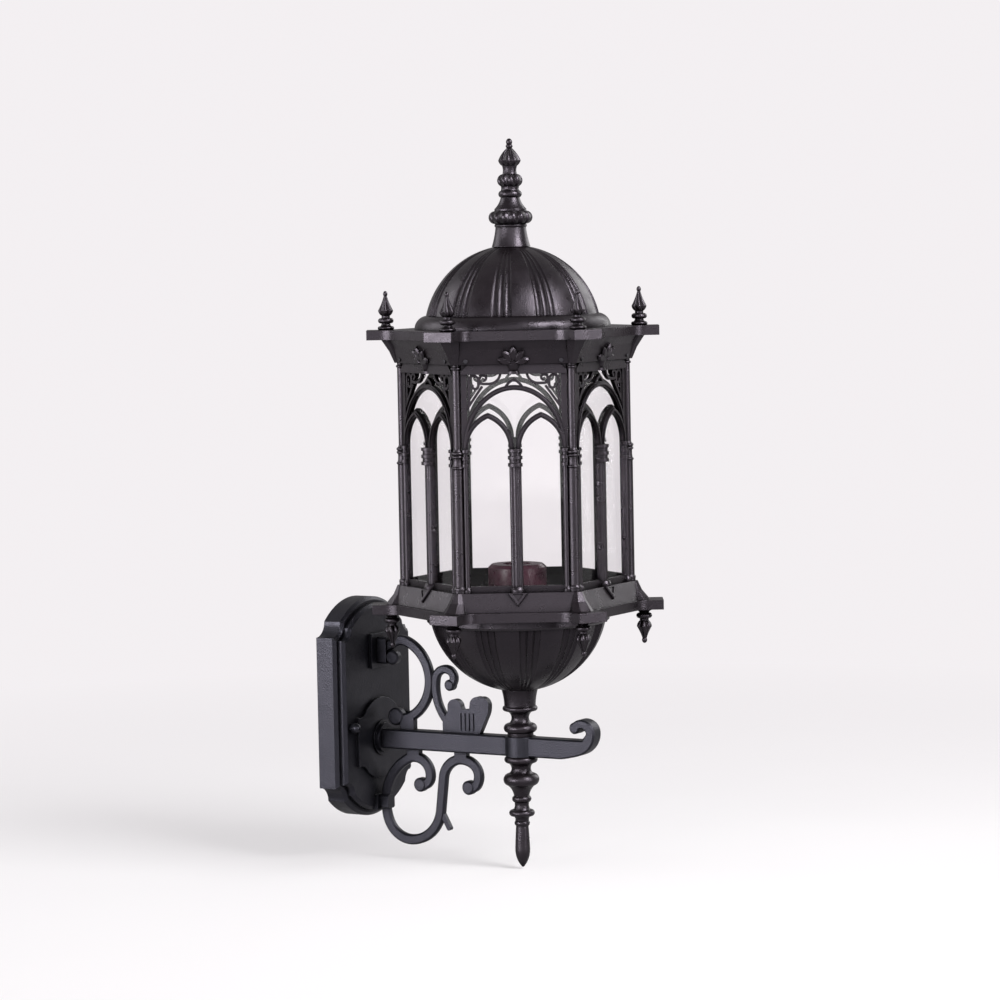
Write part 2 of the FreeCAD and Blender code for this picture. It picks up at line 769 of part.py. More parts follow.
def bevelled(face, thickness, bevel):
    solid = face.extrude(Vector(0, 0, thickness))
    edges = [edge for edge in solid.Edges
             if edge.BoundBox.ZLength < 1e-6 and edge.Length > 2 * bevel]
    return solid.makeChamfer(bevel, edges) if bevel else solid


def ribbon(piece, moves, width):
    """Face of a bar of even width along tangent arcs and straight runs."""
    point = Vector(size(f"{piece}_start_across"), size(f"{piece}_start_up"), 0)
    angle = math.radians(size(f"{piece}_heading"))

    def normal(heading):
        return Vector(-math.sin(heading), math.cos(heading), 0)

    left, right = [], []
    for name, *measures in moves:
        if len(measures) == 1:
            ahead = Vector(math.cos(angle), math.sin(angle), 0) * size(f"{piece}_{name}_length")
            for edges, side in ((left, 1), (right, -1)):
                shift = normal(angle) * (side * width / 2)
                edges.append(Part.LineSegment(point + shift, point + ahead + shift).toShape())
            point += ahead
            continue
        turn = math.radians(size(f"{piece}_{name}_turn"))
        reach = math.copysign(size(f"{piece}_{name}_radius"), turn)
        centre = point + normal(angle) * reach
        for edges, side in ((left, 1), (right, -1)):
            far = side * width / 2 - reach
            spots = [centre + normal(angle + turn * share) * far for share in (0, 0.5, 1)]
            edges.append(Part.Arc(*spots).toShape())
        point = centre - normal(angle + turn) * reach
        angle += turn
    caps = [Part.LineSegment(right[0].Vertexes[0].Point, left[0].Vertexes[0].Point).toShape(),
            Part.LineSegment(left[-1].Vertexes[-1].Point, right[-1].Vertexes[-1].Point).toShape()]
    edges = left + right + caps
    return Part.Face(Part.Wire(Part.__sortEdges__(edges))), point, angle


def bar(piece, width, thickness, bevel):
    face, point, angle = ribbon(piece, BARS[piece][3], width)
    return bevelled(face, thickness, bevel), point, angle


def ball(centre, radius, thickness, swell):
    """Round boss at the end of a scroll, a little thicker than its bar."""
    body = Part.makeCylinder(radius, thickness + 2 * swell, Vector(centre.x, centre.y, -swell))
    rims = [edge for edge in body.Edges if edge.BoundBox.ZLength < 1e-6]
    return body.makeChamfer(size("scroll_bevel"), rims)


def block(low, high, thickness, middle):
    return Part.makeBox(high[0] - low[0], high[1] - low[1], thickness,
                        Vector(low[0], low[1], middle - thickness / 2))


def make_arm():
    half = size("arm_height") / 2
    width = size("arm_width")
    face = value(PAD_FRONT) - size("axis_reach")
    root, start, finish = face + size("boss_length"), size("curl_start"), size("curl_end")

    def spots(points):
        return [Vector(size(f"curl_{point}_across"), size(f"curl_{point}_up"), 0) for point, *_ in points]

    outer, inner = Part.BSplineCurve(), Part.BSplineCurve()
    outer.interpolate(Points=[Vector(start, -half, 0)] + spots(CURL_OUTER),
                      InitialTangent=Vector(1, 0, 0), FinalTangent=Vector(-1, -size("curl_nape_slope"), 0))
    inner.interpolate(Points=spots(CURL_INNER) + [Vector(finish, half, 0)],
                      InitialTangent=Vector(1, size("curl_lip_slope"), 0), FinalTangent=Vector(-1, 0, 0))
    corners = [Vector(finish, half, 0), Vector(root, half, 0),
               Vector(root, -half, 0), Vector(start, -half, 0)]
    nape, lip = spots(CURL_OUTER)[-1], spots(CURL_INNER)[0]
    edges = [outer.toShape(), Part.LineSegment(nape, lip).toShape(), inner.toShape()]
    edges += [Part.LineSegment(*pair).toShape() for pair in zip(corners, corners[1:])]
    solid = Part.Face(Part.Wire(edges)).extrude(Vector(0, 0, width))
    rims = [edge for edge in solid.Edges if edge.BoundBox.ZLength < 1e-6 and edge.BoundBox.XLength > half]
    solid = solid.makeChamfer(size("arm_bevel"), rims)
    tip = ball(lip + (nape - lip) * size("curl_tip_share"), size("curl_tip_radius"), width, 0)

    middle = width / 2
    outward = Vector(1, 0, 0)
    step = (root - face) / 2
    boss = Part.makeCylinder(size("boss_radius"), step, Vector(face, 0, middle), outward)
    neck = Part.makeCylinder(size("boss_step_radius"), root - face + size("arm_bevel"),
                             Vector(face, 0, middle), outward)
    hub = Part.makeCylinder(size("hub_radius"), 2 * half, Vector(0, -half, middle), Vector(0, 1, 0))
    solid = solid.fuse([boss, neck, hub, tip])
    bore = Part.makeCylinder(size("tube_radius"), 2 * half, Vector(0, -half, middle), Vector(0, 1, 0))
    duct_level = size("duct_radius") + size("fit_gap")
    duct = Part.makeCylinder(size("duct_radius"), -face, Vector(face, duct_level, middle), outward)
    bolt_level = -size("arm_bolt_radius") - size("fit_gap")
    bolt = Part.makeCylinder(size("arm_bolt_radius"), size("arm_bolt_grip"),
                             Vector(face, bolt_level, middle), outward)
    solid = solid.cut([bore, duct, bolt]).removeSplitter()
    part("arm", solid, arm_plane(width, "axis_reach"))

    back = size("plate_depth") - size("plate_wall")
    grip = value(PAD_FRONT) - back + size("arm_bolt_grip")
    z = -size("arm_drop") + bolt_level
    shank = along_y(size("arm_bolt_radius"), grip, 0, z, back + grip)
    head = along_y(size("arm_bolt_head_radius"), size("arm_bolt_head_height"), 0, z, back)
    part("arm_bolt", shank.fuse(head).removeSplitter())


def clear_of_arm(shape, above):
    """What lies above or below the arm and in front of the plate."""
    room, depth, half = size("axis_reach"), size("plate_width"), size("arm_height") / 2
    foot = half if above else -half - room
    return shape.common(Part.makeBox(room, room, depth, Vector(0, foot, -depth / 2)))


def tab(side, middle):
    """Bevelled block that a scroll's screw holds to its pad."""
    level = value(f"{side}_pad_level + arm_drop")
    half = size(f"{side}_tab_height") / 2
    front = size(f"{side}_tab_depth")
    solid = block((0, level - half), (front, level + half), size("tab_thickness"), middle)
    edges = [edge for edge in solid.Edges if edge.BoundBox.XLength > size("tab_bevel")]
    return solid.makeChamfer(size("tab_bevel"), edges)


def neck(place, width, ends, thickness):
    return block((place - width / 2, min(ends)), (place + width / 2, max(ends)), thickness, thickness / 2)


def make_scrolls():
    thickness, width, bevel = size("scroll_thickness"), size("scroll_width"), size("scroll_bevel")
    middle, swell = thickness / 2, size("scroll_ball_swell")
    half = size("arm_height") / 2

    main, end, _ = bar("upper_scroll", width, thickness, bevel)
    branch, tip, _ = bar("upper_branch", size("branch_width"), thickness, bevel)
    head = Vector(size("head_ball_across"), size("head_ball_up"), 0)
    upper = main.fuse([
        branch,
        make_crest(thickness),
        ball(head, size("head_ball_radius"), thickness, swell),
        ball(end, size("scroll_ball_radius"), thickness, swell),
        ball(tip, size("branch_ball_radius"), thickness, swell),
        tab("upper", middle),
        neck(size("upper_foot_place"), size("upper_foot_width"), (half, end.y), thickness),
    ])

    main, tip, _ = bar("lower_scroll", width, thickness, bevel)
    barb, barb_end, _ = bar("lower_barb", size("barb_width"), size("barb_thickness"), 0)
    point = Part.makeCylinder(size("barb_width") / 2, size("barb_thickness"), barb_end)
    for piece in (barb, point):
        piece.translate(Vector(0, 0, middle - size("barb_thickness") / 2))
    radius = size("scroll_small_ball_radius")
    start = Vector(size("lower_scroll_start_across"), size("lower_scroll_start_up"), 0)
    pieces = [barb, point, ball(start, radius, thickness, swell), ball(tip, radius, thickness, swell)]
    ends = -half, -half - size("lower_neck_height")
    for place in (size("lower_neck_place"), size("lower_neck_place") + size("lower_neck_spacing")):
        pieces.append(neck(place, size("lower_neck_width"), ends, thickness))
    lower = main.fuse(pieces + [tab("lower", middle)])

    grip = size("screw_grip")
    back = size("plate_depth") - size("plate_wall")
    screws, drills = [], []
    for level in SCREW_LEVELS:
        z = value(level)
        length = value(PAD_FRONT) - back + grip
        shank = along_y(size("screw_radius"), length, 0, z, back + length)
        head = along_y(size("screw_head_radius"), size("screw_head_height"), 0, z, back)
        screws.append(shank.fuse(head).removeSplitter())
        drills.append(Part.makeCylinder(size("screw_radius"), grip, Vector(0, z + size("arm_drop"), middle),
                                        Vector(1, 0, 0)))
    placement = arm_plane(thickness, PAD_FRONT)
    part("upper_scroll", clear_of_arm(upper, True).cut(drills[0]).removeSplitter(), placement)
    part("lower_scroll", clear_of_arm(lower, False).cut(drills[1]).removeSplitter(), placement)
    part("scroll_screws", Part.makeCompound(screws))


def make_crest(thickness):
    """Veined leaf on the arm with a round lobe and a curled one."""
    foot = size("arm_height") / 2
    spots = [Vector(size(f"crest_{point}_across"), foot + size(f"crest_{point}_up"), 0)
             for point, *_ in CREST]
    edges = []
    for i, (point, *_) in enumerate(CREST):
        start, end = spots[i - 1], spots[i]
        bulge = size(f"crest_{point}_bulge")
        if bulge:
            outward = Vector(start.y - end.y, end.x - start.x, 0).normalize()
            edges.append(Part.Arc(start, (start + end) * 0.5 + outward * bulge, end).toShape())
        else:
            edges.append(Part.LineSegment(start, end).toShape())
    leaf = Part.Face(Part.Wire(edges)).extrude(Vector(0, 0, thickness))
    width, depth = size("vein_width"), size("vein_depth")
    veins = []
    for i in range(VEINS):
        place = size("vein_start") + i * size("vein_pitch")
        for level in (0, thickness - depth):
            veins.append(Part.makeBox(width, size("vein_length"), depth,
                                      Vector(place - width / 2, foot + size("vein_foot"), level)))
    return leaf.cut(veins)


# Stem, bowl and dome
def fluted_ring(radius, level, turn):
    """Closed ring of smooth gores and groups of hollow flutes."""
    flute = math.radians(size("flute_angle"))
    depth = size("flute_depth") * radius / size("dome_radius")
    group = math.radians(360 / FLUTE_GROUPS)

    def spot(angle, reach):
        return Vector(reach * math.cos(angle), reach * math.sin(angle), level)

    edges = []
    for i in range(FLUTE_GROUPS):
        angle = math.radians(turn) + i * group - FLUTES_IN_GROUP * flute / 2
        for _ in range(FLUTES_IN_GROUP):
            edges.append(Part.Arc(spot(angle, radius), spot(angle + flute / 2, radius - depth),
                                  spot(angle + flute, radius)).toShape())
            angle += flute
        gore = group - FLUTES_IN_GROUP * flute
        edges.append(Part.Arc(spot(angle, radius), spot(angle + gore / 2, radius),
                              spot(angle + gore, radius)).toShape())
    return Part.Wire(edges)


def fluted_solid(rings, turn):
    return Part.makeLoft([fluted_ring(radius, level, turn) for radius, level in rings], True, False)


def turned_solid(corners):
    """Solid of revolution of a closed outline of (radius, level) corners and arcs."""
    edges, last = [], corners[-1][-1]
    for corner in corners:
        start, end = Vector(last[0], 0, last[1]), Vector(corner[-1][0], 0, corner[-1][1])
        if len(corner) == 2:
            edges.append(Part.Arc(start, Vector(corner[0][0], 0, corner[0][1]), end).toShape())
        elif start.distanceToPoint(end) > 1e-9:
            edges.append(Part.LineSegment(start, end).toShape())
        last = corner[-1]
    return Part.Face(Part.Wire(edges)).revolve(Vector(), Vector(0, 0, 1), 360)


RING_COUNT = 9
VIEW_TURN = 210.0


def sphere_arc(radius, centre, low, high):
    """Point half way round and end point of an arc of a sphere, from a low level to a high one."""
    angles = [math.asin((level - centre) / radius) for level in (low, high)]
    spots = []
    for angle in (sum(angles) / 2, angles[1]):
        spots.append((radius * math.cos(angle), centre + radius * math.sin(angle)))
    return tuple(spots)


def sphere_rings(radius, centre, low, high):
    """Radius and level of the rings of a sphere between two levels, evenly round it."""
    first, last = (math.asin((level - centre) / radius) for level in (low, high))
    rings = []
    for i in range(RING_COUNT):
        angle = first + (last - first) * i / (RING_COUNT - 1)
        rings.append((radius * math.cos(angle), centre + radius * math.sin(angle)))
    return rings


def make_bowl():
    radius, wall, flange = size("bowl_radius"), size("bowl_wall"), size("bowl_flange_height")
    centre = value(BOWL_CENTRE)
    top = centre - size("bowl_cut")
    outer = fluted_solid(sphere_rings(radius, centre, 0, top - flange / 2), VIEW_TURN + size("bowl_turn"))
    rim = Part.makeCylinder(size("bowl_flange_radius"), flange, Vector(0, 0, top - flange))
    rim = rim.makeChamfer(size("bowl_flange_bevel"), [edge for edge in rim.Edges
                                                      if edge.BoundBox.ZMax < top - flange / 2])
    inner = radius - wall
    inner_foot = size("bowl_foot_radius") + wall
    floor = centre - math.sqrt(inner ** 2 - inner_foot ** 2)
    hollow = turned_solid([
        ((0, floor),),
        ((inner_foot, floor),),
        sphere_arc(inner, centre, floor, top),
        ((0, top),),
    ])
    bore = Part.makeCylinder(size("tube_radius"), top)
    part("bowl", outer.fuse(rim).cut([hollow, bore]), Placement(axis_point(BOWL_FOOT), Rotation()))


def make_dome():
    radius, wall, centre = size("dome_radius"), size("dome_wall"), -size("dome_sink")
    ring, height = size("dome_ring_radius"), size("dome_ring_height")
    crown = value(CROWN_RISE)
    shell = fluted_solid(sphere_rings(radius, centre, height / 2, crown), VIEW_TURN + size("dome_turn"))
    inner = radius - wall
    bend = height * math.sqrt(0.5)
    base = turned_solid([
        ((0, 0),),
        ((ring, 0),),
        ((ring - height + bend, bend), (ring - height, height)),
        ((0, height),),
    ])
    hollow = turned_solid([
        ((0, 0),),
        ((math.sqrt(inner ** 2 - centre ** 2), 0),),
        sphere_arc(inner, centre, 0, centre + inner),
    ])
    step = Part.makeCylinder(size("roof_opening_radius"), height)
    drills = roof_screw_shanks(size("roof_screw_length") - size("brim_thickness"), 0)
    bore = Part.makeCylinder(size("tube_radius"), crown)
    shape = shell.fuse(base).cut([hollow, step, bore] + drills)
    part("dome", shape, Placement(axis_point(ROOF), Rotation()))


def roof_screw_shanks(length, level):
    shanks = []
    for i in range(ROOF_SCREWS):
        angle = 2 * math.pi * (i + 0.25) / ROOF_SCREWS
        circle = size("roof_screw_circle")
        spot = Vector(circle * math.cos(angle), circle * math.sin(angle), level)
        shanks.append(Part.makeCylinder(size("roof_screw_radius"), length, spot))
    return shanks


def make_roof_screws():
    shanks = roof_screw_shanks(size("roof_screw_length"), 0)
    screws = []
    for shank in shanks:
        centre = shank.BoundBox.Center
        head_height = size("roof_screw_head_height")
        head = Part.makeCylinder(size("roof_screw_head_radius"), head_height,
                                 Vector(centre.x, centre.y, -head_height))
        screws.append(shank.fuse(head).removeSplitter())
    part("roof_screws", Part.makeCompound(screws), Placement(axis_point(UPPER_BRIM), Rotation()))


def make_stem():
    upper = revolve("upper_baluster", turned_path("upper_baluster", "tube_radius"))
    stand(upper, ARM_TOP)
    lower = revolve("lower_baluster", turned_path("lower_baluster", "tube_radius"))
    stand(lower, ARM_BOTTOM, hanging=True)
    drop = revolve("drop_finial", turned_path("drop_finial"))
    stand(drop, f"{ARM_BOTTOM} - ({total_rise('lower_baluster')})", hanging=True)
    top = revolve("top_finial", turned_path("top_finial"))
    stand(top, f"{ROOF} + {CROWN_RISE}")

    foot = f"{ARM_BOTTOM} - tube_end"
    head = f"{FLOOR} + holder_plate_thickness + tube_proud"
    tube = revolve("threaded_tube", [
        ("tube_radius - tube_wall", "0"),
        ("tube_radius", "0"),
        ("tube_radius", f"({head}) - ({foot})"),
        ("tube_radius - tube_wall", f"({head}) - ({foot})"),
    ])
    stand(tube, foot)
    nut = doc.addObject("Part::Prism", "nut_blank")
    nut.Polygon = 6
    bind(nut, Circumradius="tube_nut_radius", Height="tube_nut_height",
         Base_y="-axis_reach", Base_z=f"{FLOOR} + holder_plate_thickness")
    thread = doc.addObject("Part::Cylinder", "nut_thread")
    bind(thread, Radius="tube_radius", Height="tube_nut_height",
         Base_y="-axis_reach", Base_z=f"{FLOOR} + holder_plate_thickness")
    tapped = doc.addObject("Part::Cut", "tube_nut")
    tapped.Base = nut
    tapped.Tool = thread
    node(tapped, "tube_nut")


# Tray and cornice
def hexagon_face(circumradius, level):
    corners = [Vector(circumradius * math.cos(math.radians(PITCH * i)),
                      circumradius * math.sin(math.radians(PITCH * i)), level) for i in range(SIDES)]
    return Part.makePolygon(corners + corners[:1])


def circumradius(inradius):
    return inradius / math.cos(math.pi / SIDES)


FILLET_SHARE = 0.9


def brim(level):
    """Six-sided plate with a square lug at each corner and a hollow fillet beside each lug."""
    thick, width = size("brim_thickness"), size("lug_width")
    plate = Part.Face(hexagon_face(circumradius(size("brim_inradius")), level)).extrude(Vector(0, 0, thick))
    lugs = []
    for i in range(SIDES):
        lug = Part.makeBox(size("lug_reach"), width, thick, Vector(0, -width / 2, level))
        lug.rotate(Vector(), Vector(0, 0, 1), PITCH * i)
        lugs.append(lug)
    solid = plate.fuse(lugs).removeSplitter()
    corner = circumradius(size("brim_inradius"))
    free = size("lug_reach") - corner + width / 2 * math.tan(math.pi / SIDES)
    bend = math.pi / 2 - math.pi / SIDES
    fillet = min(size("lug_fillet"), FILLET_SHARE * free / math.tan(bend / 2))
    inner = [edge for edge in solid.Edges
             if edge.BoundBox.ZLength > thick / 2
             and math.hypot(edge.BoundBox.Center.x, edge.BoundBox.Center.y) < size("lug_reach")]
    return solid.makeFillet(fillet, inner)


def corner_ribs(sections):
    """Flared corner brackets through sections of level, width and reach."""
    back = size("brim_inradius") - size("corner_rib_root")
    ribs = []
    for i in range(SIDES):
        rings = []
        for level, width, reach in sections:
            corners = [Vector(back, -width / 2, level), Vector(reach - width / 4, -width / 2, level),
                       Vector(reach, -width / 4, level), Vector(reach, width / 4, level),
                       Vector(reach - width / 4, width / 2, level), Vector(back, width / 2, level)]
            rings.append(Part.makePolygon(corners + corners[:1]))
        rib = Part.makeLoft(rings, True, True)
        rib.rotate(Vector(), Vector(0, 0, 1), PITCH * i)
        ribs.append(rib)
    return ribs


def rib_sections(low, high, low_reach, high_reach, low_width, high_width, hollow):
    """Straight flare between two levels that is hollowed at the middle."""
    middle = ((low + high) / 2, (low_width + high_width) / 2, (low_reach + high_reach) / 2 - hollow)
    return [(low, low_width, low_reach), middle, (high, high_width, high_reach)]


def round_sides(piece):
    """Copies of a piece, one on each side of the hexagon."""
    copies = []
    for i in range(SIDES):
        turned = piece.copy()
        turned.rotate(Vector(), Vector(0, 0, 1), PITCH * (i + 0.5))
        copies.append(turned)
    return copies


def between(shape, low, high):
    """What lies between two levels."""
    reach = size("lug_reach")
    return shape.common(Part.makeBox(2 * reach, 2 * reach, high - low, Vector(-reach, -reach, low)))


def skirt_drops(top):
    """Pointed drop with a sunk middle under the middle of each panel."""
    half, tall, rise = size("drop_width") / 2, size("drop_height"), size("drop_rise")
    low = size("skirt_foot_radius") * math.cos(math.pi / SIDES)
    high = size("skirt_top_radius") * math.cos(math.pi / SIDES)
    lean = math.degrees(math.atan2(low - high, size("skirt_height")))
    depth = Vector(2 * rise, 0, 0)

    def triangle(share):
        middle = -tall / 3
        corners = [Vector(0, side * half * share, middle + level * share)
                   for side, level in ((-1, tall / 3), (1, tall / 3), (0, -2 * tall / 3))]
        return Part.Face(Part.makePolygon(corners + corners[:1])).extrude(depth)

    drop = triangle(1)
    drop = drop.makeChamfer(size("drop_bevel"), [edge for edge in drop.Edges if edge.BoundBox.XMin > rise])
    recess = triangle(size("drop_recess_share"))
    recess.translate(depth - Vector(size("drop_recess"), 0, 0))
    drop = drop.cut(recess)
    drop.rotate(Vector(), Vector(0, 1, 0), -lean)
    drop.translate(Vector(high - rise, 0, top))
    return round_sides(drop)


def make_tray():
    thick, height = size("brim_thickness"), size("skirt_height")
    top = thick + height
    skirt = Part.makeLoft([hexagon_face(size("skirt_foot_radius"), thick),
                           hexagon_face(size("skirt_top_radius"), top)], True, True)
    ribs = corner_ribs(rib_sections(thick, top, size("tray_rib_reach"), size("skirt_top_radius"),
                                    size("corner_rib_foot_width"), size("corner_rib_width"),
                                    size("tray_rib_hollow")))
    drops = [between(drop, 0, top) for drop in skirt_drops(top)]
    room = hexagon_face(circumradius(size("chamber_inradius")), thick)
    cavity = Part.Face(room).extrude(Vector(0, 0, height))
    bore = Part.makeCylinder(size("tube_radius"), thick)
    solid = brim(0).fuse([skirt] + ribs + drops).cut([cavity, bore]).removeSplitter()
    part("lower_tray", solid, Placement(axis_point(BRIM_UNDER), Rotation()))


def screw_spots():
    """Axis points and directions of the small screws at the lower corners of the frieze."""
    level = size("cornice_screw_level")
    along = size("frieze_foot_radius") / 2 - size("cornice_screw_inset")
    share = level / size("frieze_fillet_rise")
    radius = size("frieze_foot_radius") * (1 - share) + size("frieze_fillet_radius") * share
    seat = radius * math.cos(math.pi / SIDES) - size("cornice_screw_head_height") / 2
    spots = []
    for i in range(SIDES):
        angle = math.radians(PITCH * (i + 0.5))
        outward = Vector(math.cos(angle), math.sin(angle), 0)
        across = Vector(-math.sin(angle), math.cos(angle), 0)
        for side in (-1, 1):
            spots.append((outward * seat + across * (side * along) + Vector(0, 0, level), outward))
    return spots


def palmettes():
    """Five-leaf palmette on each face of the frieze: bevelled leaves that fan from a round foot."""
    length, half = size("palmette_leaf_length"), size("palmette_leaf_width") / 2
    root, rise, bevel = size("palmette_root"), size("palmette_rise"), size("palmette_bevel")
    low = size("frieze_foot_radius") * math.cos(math.pi / SIDES)
    high = size("frieze_top_radius") * math.cos(math.pi / SIDES)
    lean = math.degrees(math.atan2(high - low, size("frieze_height")))
    deep = Vector(2 * rise, 0, 0)
    pieces = [Part.makeCylinder(root + bevel, size("palmette_eye_share") * rise, Vector(), Vector(1, 0, 0))]
    for step in LEAVES:
        tip = length * (1 - size("palmette_shrink") * abs(step))
        ends = Vector(0, 0, root), Vector(0, 0, tip)
        widest = root + size("palmette_widest_share") * (tip - root)
        sides = [Part.Arc(ends[0], Vector(0, side * half, widest), ends[1]).toShape() for side in (-1, 1)]
        leaf = Part.Face(Part.Wire(Part.__sortEdges__(sides))).extrude(deep)
        leaf = leaf.makeChamfer(bevel, [edge for edge in leaf.Edges if edge.BoundBox.XMin > deep.x - 1e-6])
        leaf.rotate(Vector(), Vector(1, 0, 0), -size("palmette_spread") * step)
        pieces.append(leaf)
    palmette = pieces[0].fuse(pieces[1:])
    palmette.rotate(Vector(), Vector(0, 1, 0), lean)
    palmette.translate(Vector(low - rise, 0, size("palmette_level")))
    return round_sides(between(palmette, 0, size("frieze_height")))


def make_cornice():
    height, thick = size("frieze_height"), size("brim_thickness")
    levels = [(0, "frieze_foot_radius"), (size("frieze_fillet_rise"), "frieze_fillet_radius"),
              (size("frieze_swell_rise"), "frieze_swell_radius"), (height, "frieze_top_radius")]
    frieze = Part.makeLoft([hexagon_face(size(radius), level) for level, radius in levels], True, True)
    ribs = corner_ribs(rib_sections(0, height, size("frieze_foot_radius"), size("frieze_rib_reach"),
                                    size("corner_rib_width"), size("corner_rib_foot_width"),
                                    size("frieze_rib_hollow")))
    room = hexagon_face(circumradius(size("chamber_inradius")), 0)
    cavity = Part.Face(room).extrude(Vector(0, 0, height))
    opening = Part.makeCylinder(size("roof_opening_radius"), thick, Vector(0, 0, height))
    solid = brim(height).fuse([frieze] + ribs + palmettes())
    drills = roof_screw_shanks(thick, height)
    screws = []
    for seat, outward in screw_spots():
        length, radius = size("cornice_screw_length"), size("cornice_screw_radius")
        head_radius, head = size("cornice_screw_head_radius"), size("cornice_screw_head_height")
        shank = Part.makeCylinder(radius, length, seat - outward * length, outward)
        cap = Part.makeCylinder(head_radius, head, seat, outward)
        screws.append(shank.fuse(cap).removeSplitter())
        drills += [shank, Part.makeCylinder(head_radius, THROUGH * head, seat, outward)]
    solid = solid.cut([cavity, opening] + drills).removeSplitter()
    placement = Placement(axis_point(FRIEZE_FOOT), Rotation())
    part("cornice", solid, placement)
    part("cornice_screws", Part.makeCompound(screws), placement)


# Side panels, drawn across and up, with the thickness outwards
def slab(wire, thickness, back=0.0):
    face = Part.Face(wire)
    face.translate(Vector(0, 0, back))
    return face.extrude(Vector(0, 0, thickness))


def outline(corners):
    return Part.makePolygon([Vector(x, y, 0) for x, y in corners + corners[:1]])


def half_arch(half_width, rise, foot):
    """Half ellipse above its springing line."""
    ends = [Vector(half_width, foot, 0), Vector(-half_width, foot, 0)]
    if half_width > rise:
        ellipse = Part.Ellipse(Vector(0, foot, 0), half_width, rise)
        curve = Part.ArcOfEllipse(ellipse, 0, math.pi)
    else:
        ellipse = Part.Ellipse(Vector(0, foot + rise, 0), Vector(-half_width, foot, 0), Vector(0, foot, 0))
        curve = Part.ArcOfEllipse(ellipse, -math.pi / 2, math.pi / 2)
    return Part.Wire(Part.__sortEdges__([curve.toShape(), Part.LineSegment(*ends).toShape()]))


def lancet(centre, half_width, rise, grow, foot, spring):
    """Pointed opening, widened all round by a margin."""
    radius = (half_width ** 2 + rise ** 2) / (2 * half_width)
    offset = radius - half_width
    reach = radius + grow
    top = math.sqrt(reach ** 2 - offset ** 2)
    side = half_width + grow

    def haunch(sign):
        angle = math.atan2(top, offset) / 2
        across = reach * math.cos(angle) - offset
        return Vector(centre + sign * across, spring + reach * math.sin(angle), 0)

    apex = Vector(centre, spring + top, 0)
    left, right = Vector(centre - side, spring, 0), Vector(centre + side, spring, 0)
    low_left, low_right = Vector(centre - side, foot, 0), Vector(centre + side, foot, 0)
    edges = [Part.LineSegment(low_left, low_right), Part.LineSegment(low_right, right),
             Part.Arc(right, haunch(1), apex), Part.Arc(apex, haunch(-1), left),
             Part.LineSegment(left, low_left)]
    return Part.Wire([edge.toShape() for edge in edges])


def column(place, radius, front, reeded):
    """Half-round shaft, or a cluster of reeds, with a ringed capital and a base."""
    spring = value(SPRING)
    ring, ring_height = size("capital_ring"), size("capital_ring_height")
    base = size("column_base_height")
    upward = Vector(0, 1, 0)

    def disc(low, high, reach, shift=0.0):
        return Part.makeCylinder(reach, high - low, Vector(place + shift, low, front), upward)

    step = (size("capital_height") - ring_height) / 2
    pieces = [disc(spring - ring_height - i * step, spring - i * step, radius + ring) for i in range(3)]
    pieces.append(disc(0, base / 2, radius + ring))
    pieces.append(Part.makeCone(radius + ring, radius, base / 2, Vector(place, base / 2, front), upward))
    if not reeded:
        return disc(0, spring, radius).fuse(pieces)
    for side in REEDS:
        share = size("side_reed_share") if side else size("reed_share")
        pieces.append(disc(0, spring, radius * share, side * radius * size("side_reed_place")))
    bell = disc(spring - size("capital_height"), spring, radius)
    return bell.fuse(pieces)


def cup(height, front):
    """Foot of the palmette on the top rail: a flared cup on a ring."""
    tall, ring = size("cup_height"), size("cup_ring_height")
    upward = Vector(0, 1, 0)
    bell = Part.makeCone(size("cup_foot_radius"), size("cup_rim_radius"), tall - ring / 2,
                         Vector(0, height - tall + ring / 2, front), upward)
    foot = Part.makeCylinder(size("cup_ring_radius"), ring, Vector(0, height - tall, front), upward)
    return bell.fuse(foot)


def post_room(side):
    """Room for a corner post beside a panel."""
    angle = math.pi / SIDES
    across = side * size("post_circle") * math.sin(angle)
    out = size("post_circle") * math.cos(angle) - size("panel_inradius")
    height, spring, gap = size("panel_height"), value(SPRING), size("fit_gap")
    shaft, base = size("corner_post_shaft_radius"), size("corner_post_base_radius")
    rings = [value(f"corner_post_{station}_radius + corner_post_{station}_bulge") for station in CAPITAL[:-1]]
    head = value("corner_post_top_ring_radius + corner_post_top_ring_bulge")
    capital_foot = spring - sum(size(f"corner_post_{station}_rise") for station in CAPITAL)
    head_foot = height - value("corner_post_top_rise + corner_post_top_ring_rise")
    base_top = value("corner_post_base_edge_rise + corner_post_base_ring_rise")
    spans = [(0, spring, shaft), (0, base_top, base), (capital_foot, spring, max(rings)),
             (spring, height, size("corner_post_upper_shaft_radius")), (head_foot, height, head)]
    tools = []
    for low, high, radius in spans:
        tools.append(Part.makeCylinder(radius + gap, high - low, Vector(across, low, out), Vector(0, 1, 0)))
    return tools[0].fuse(tools[1:])


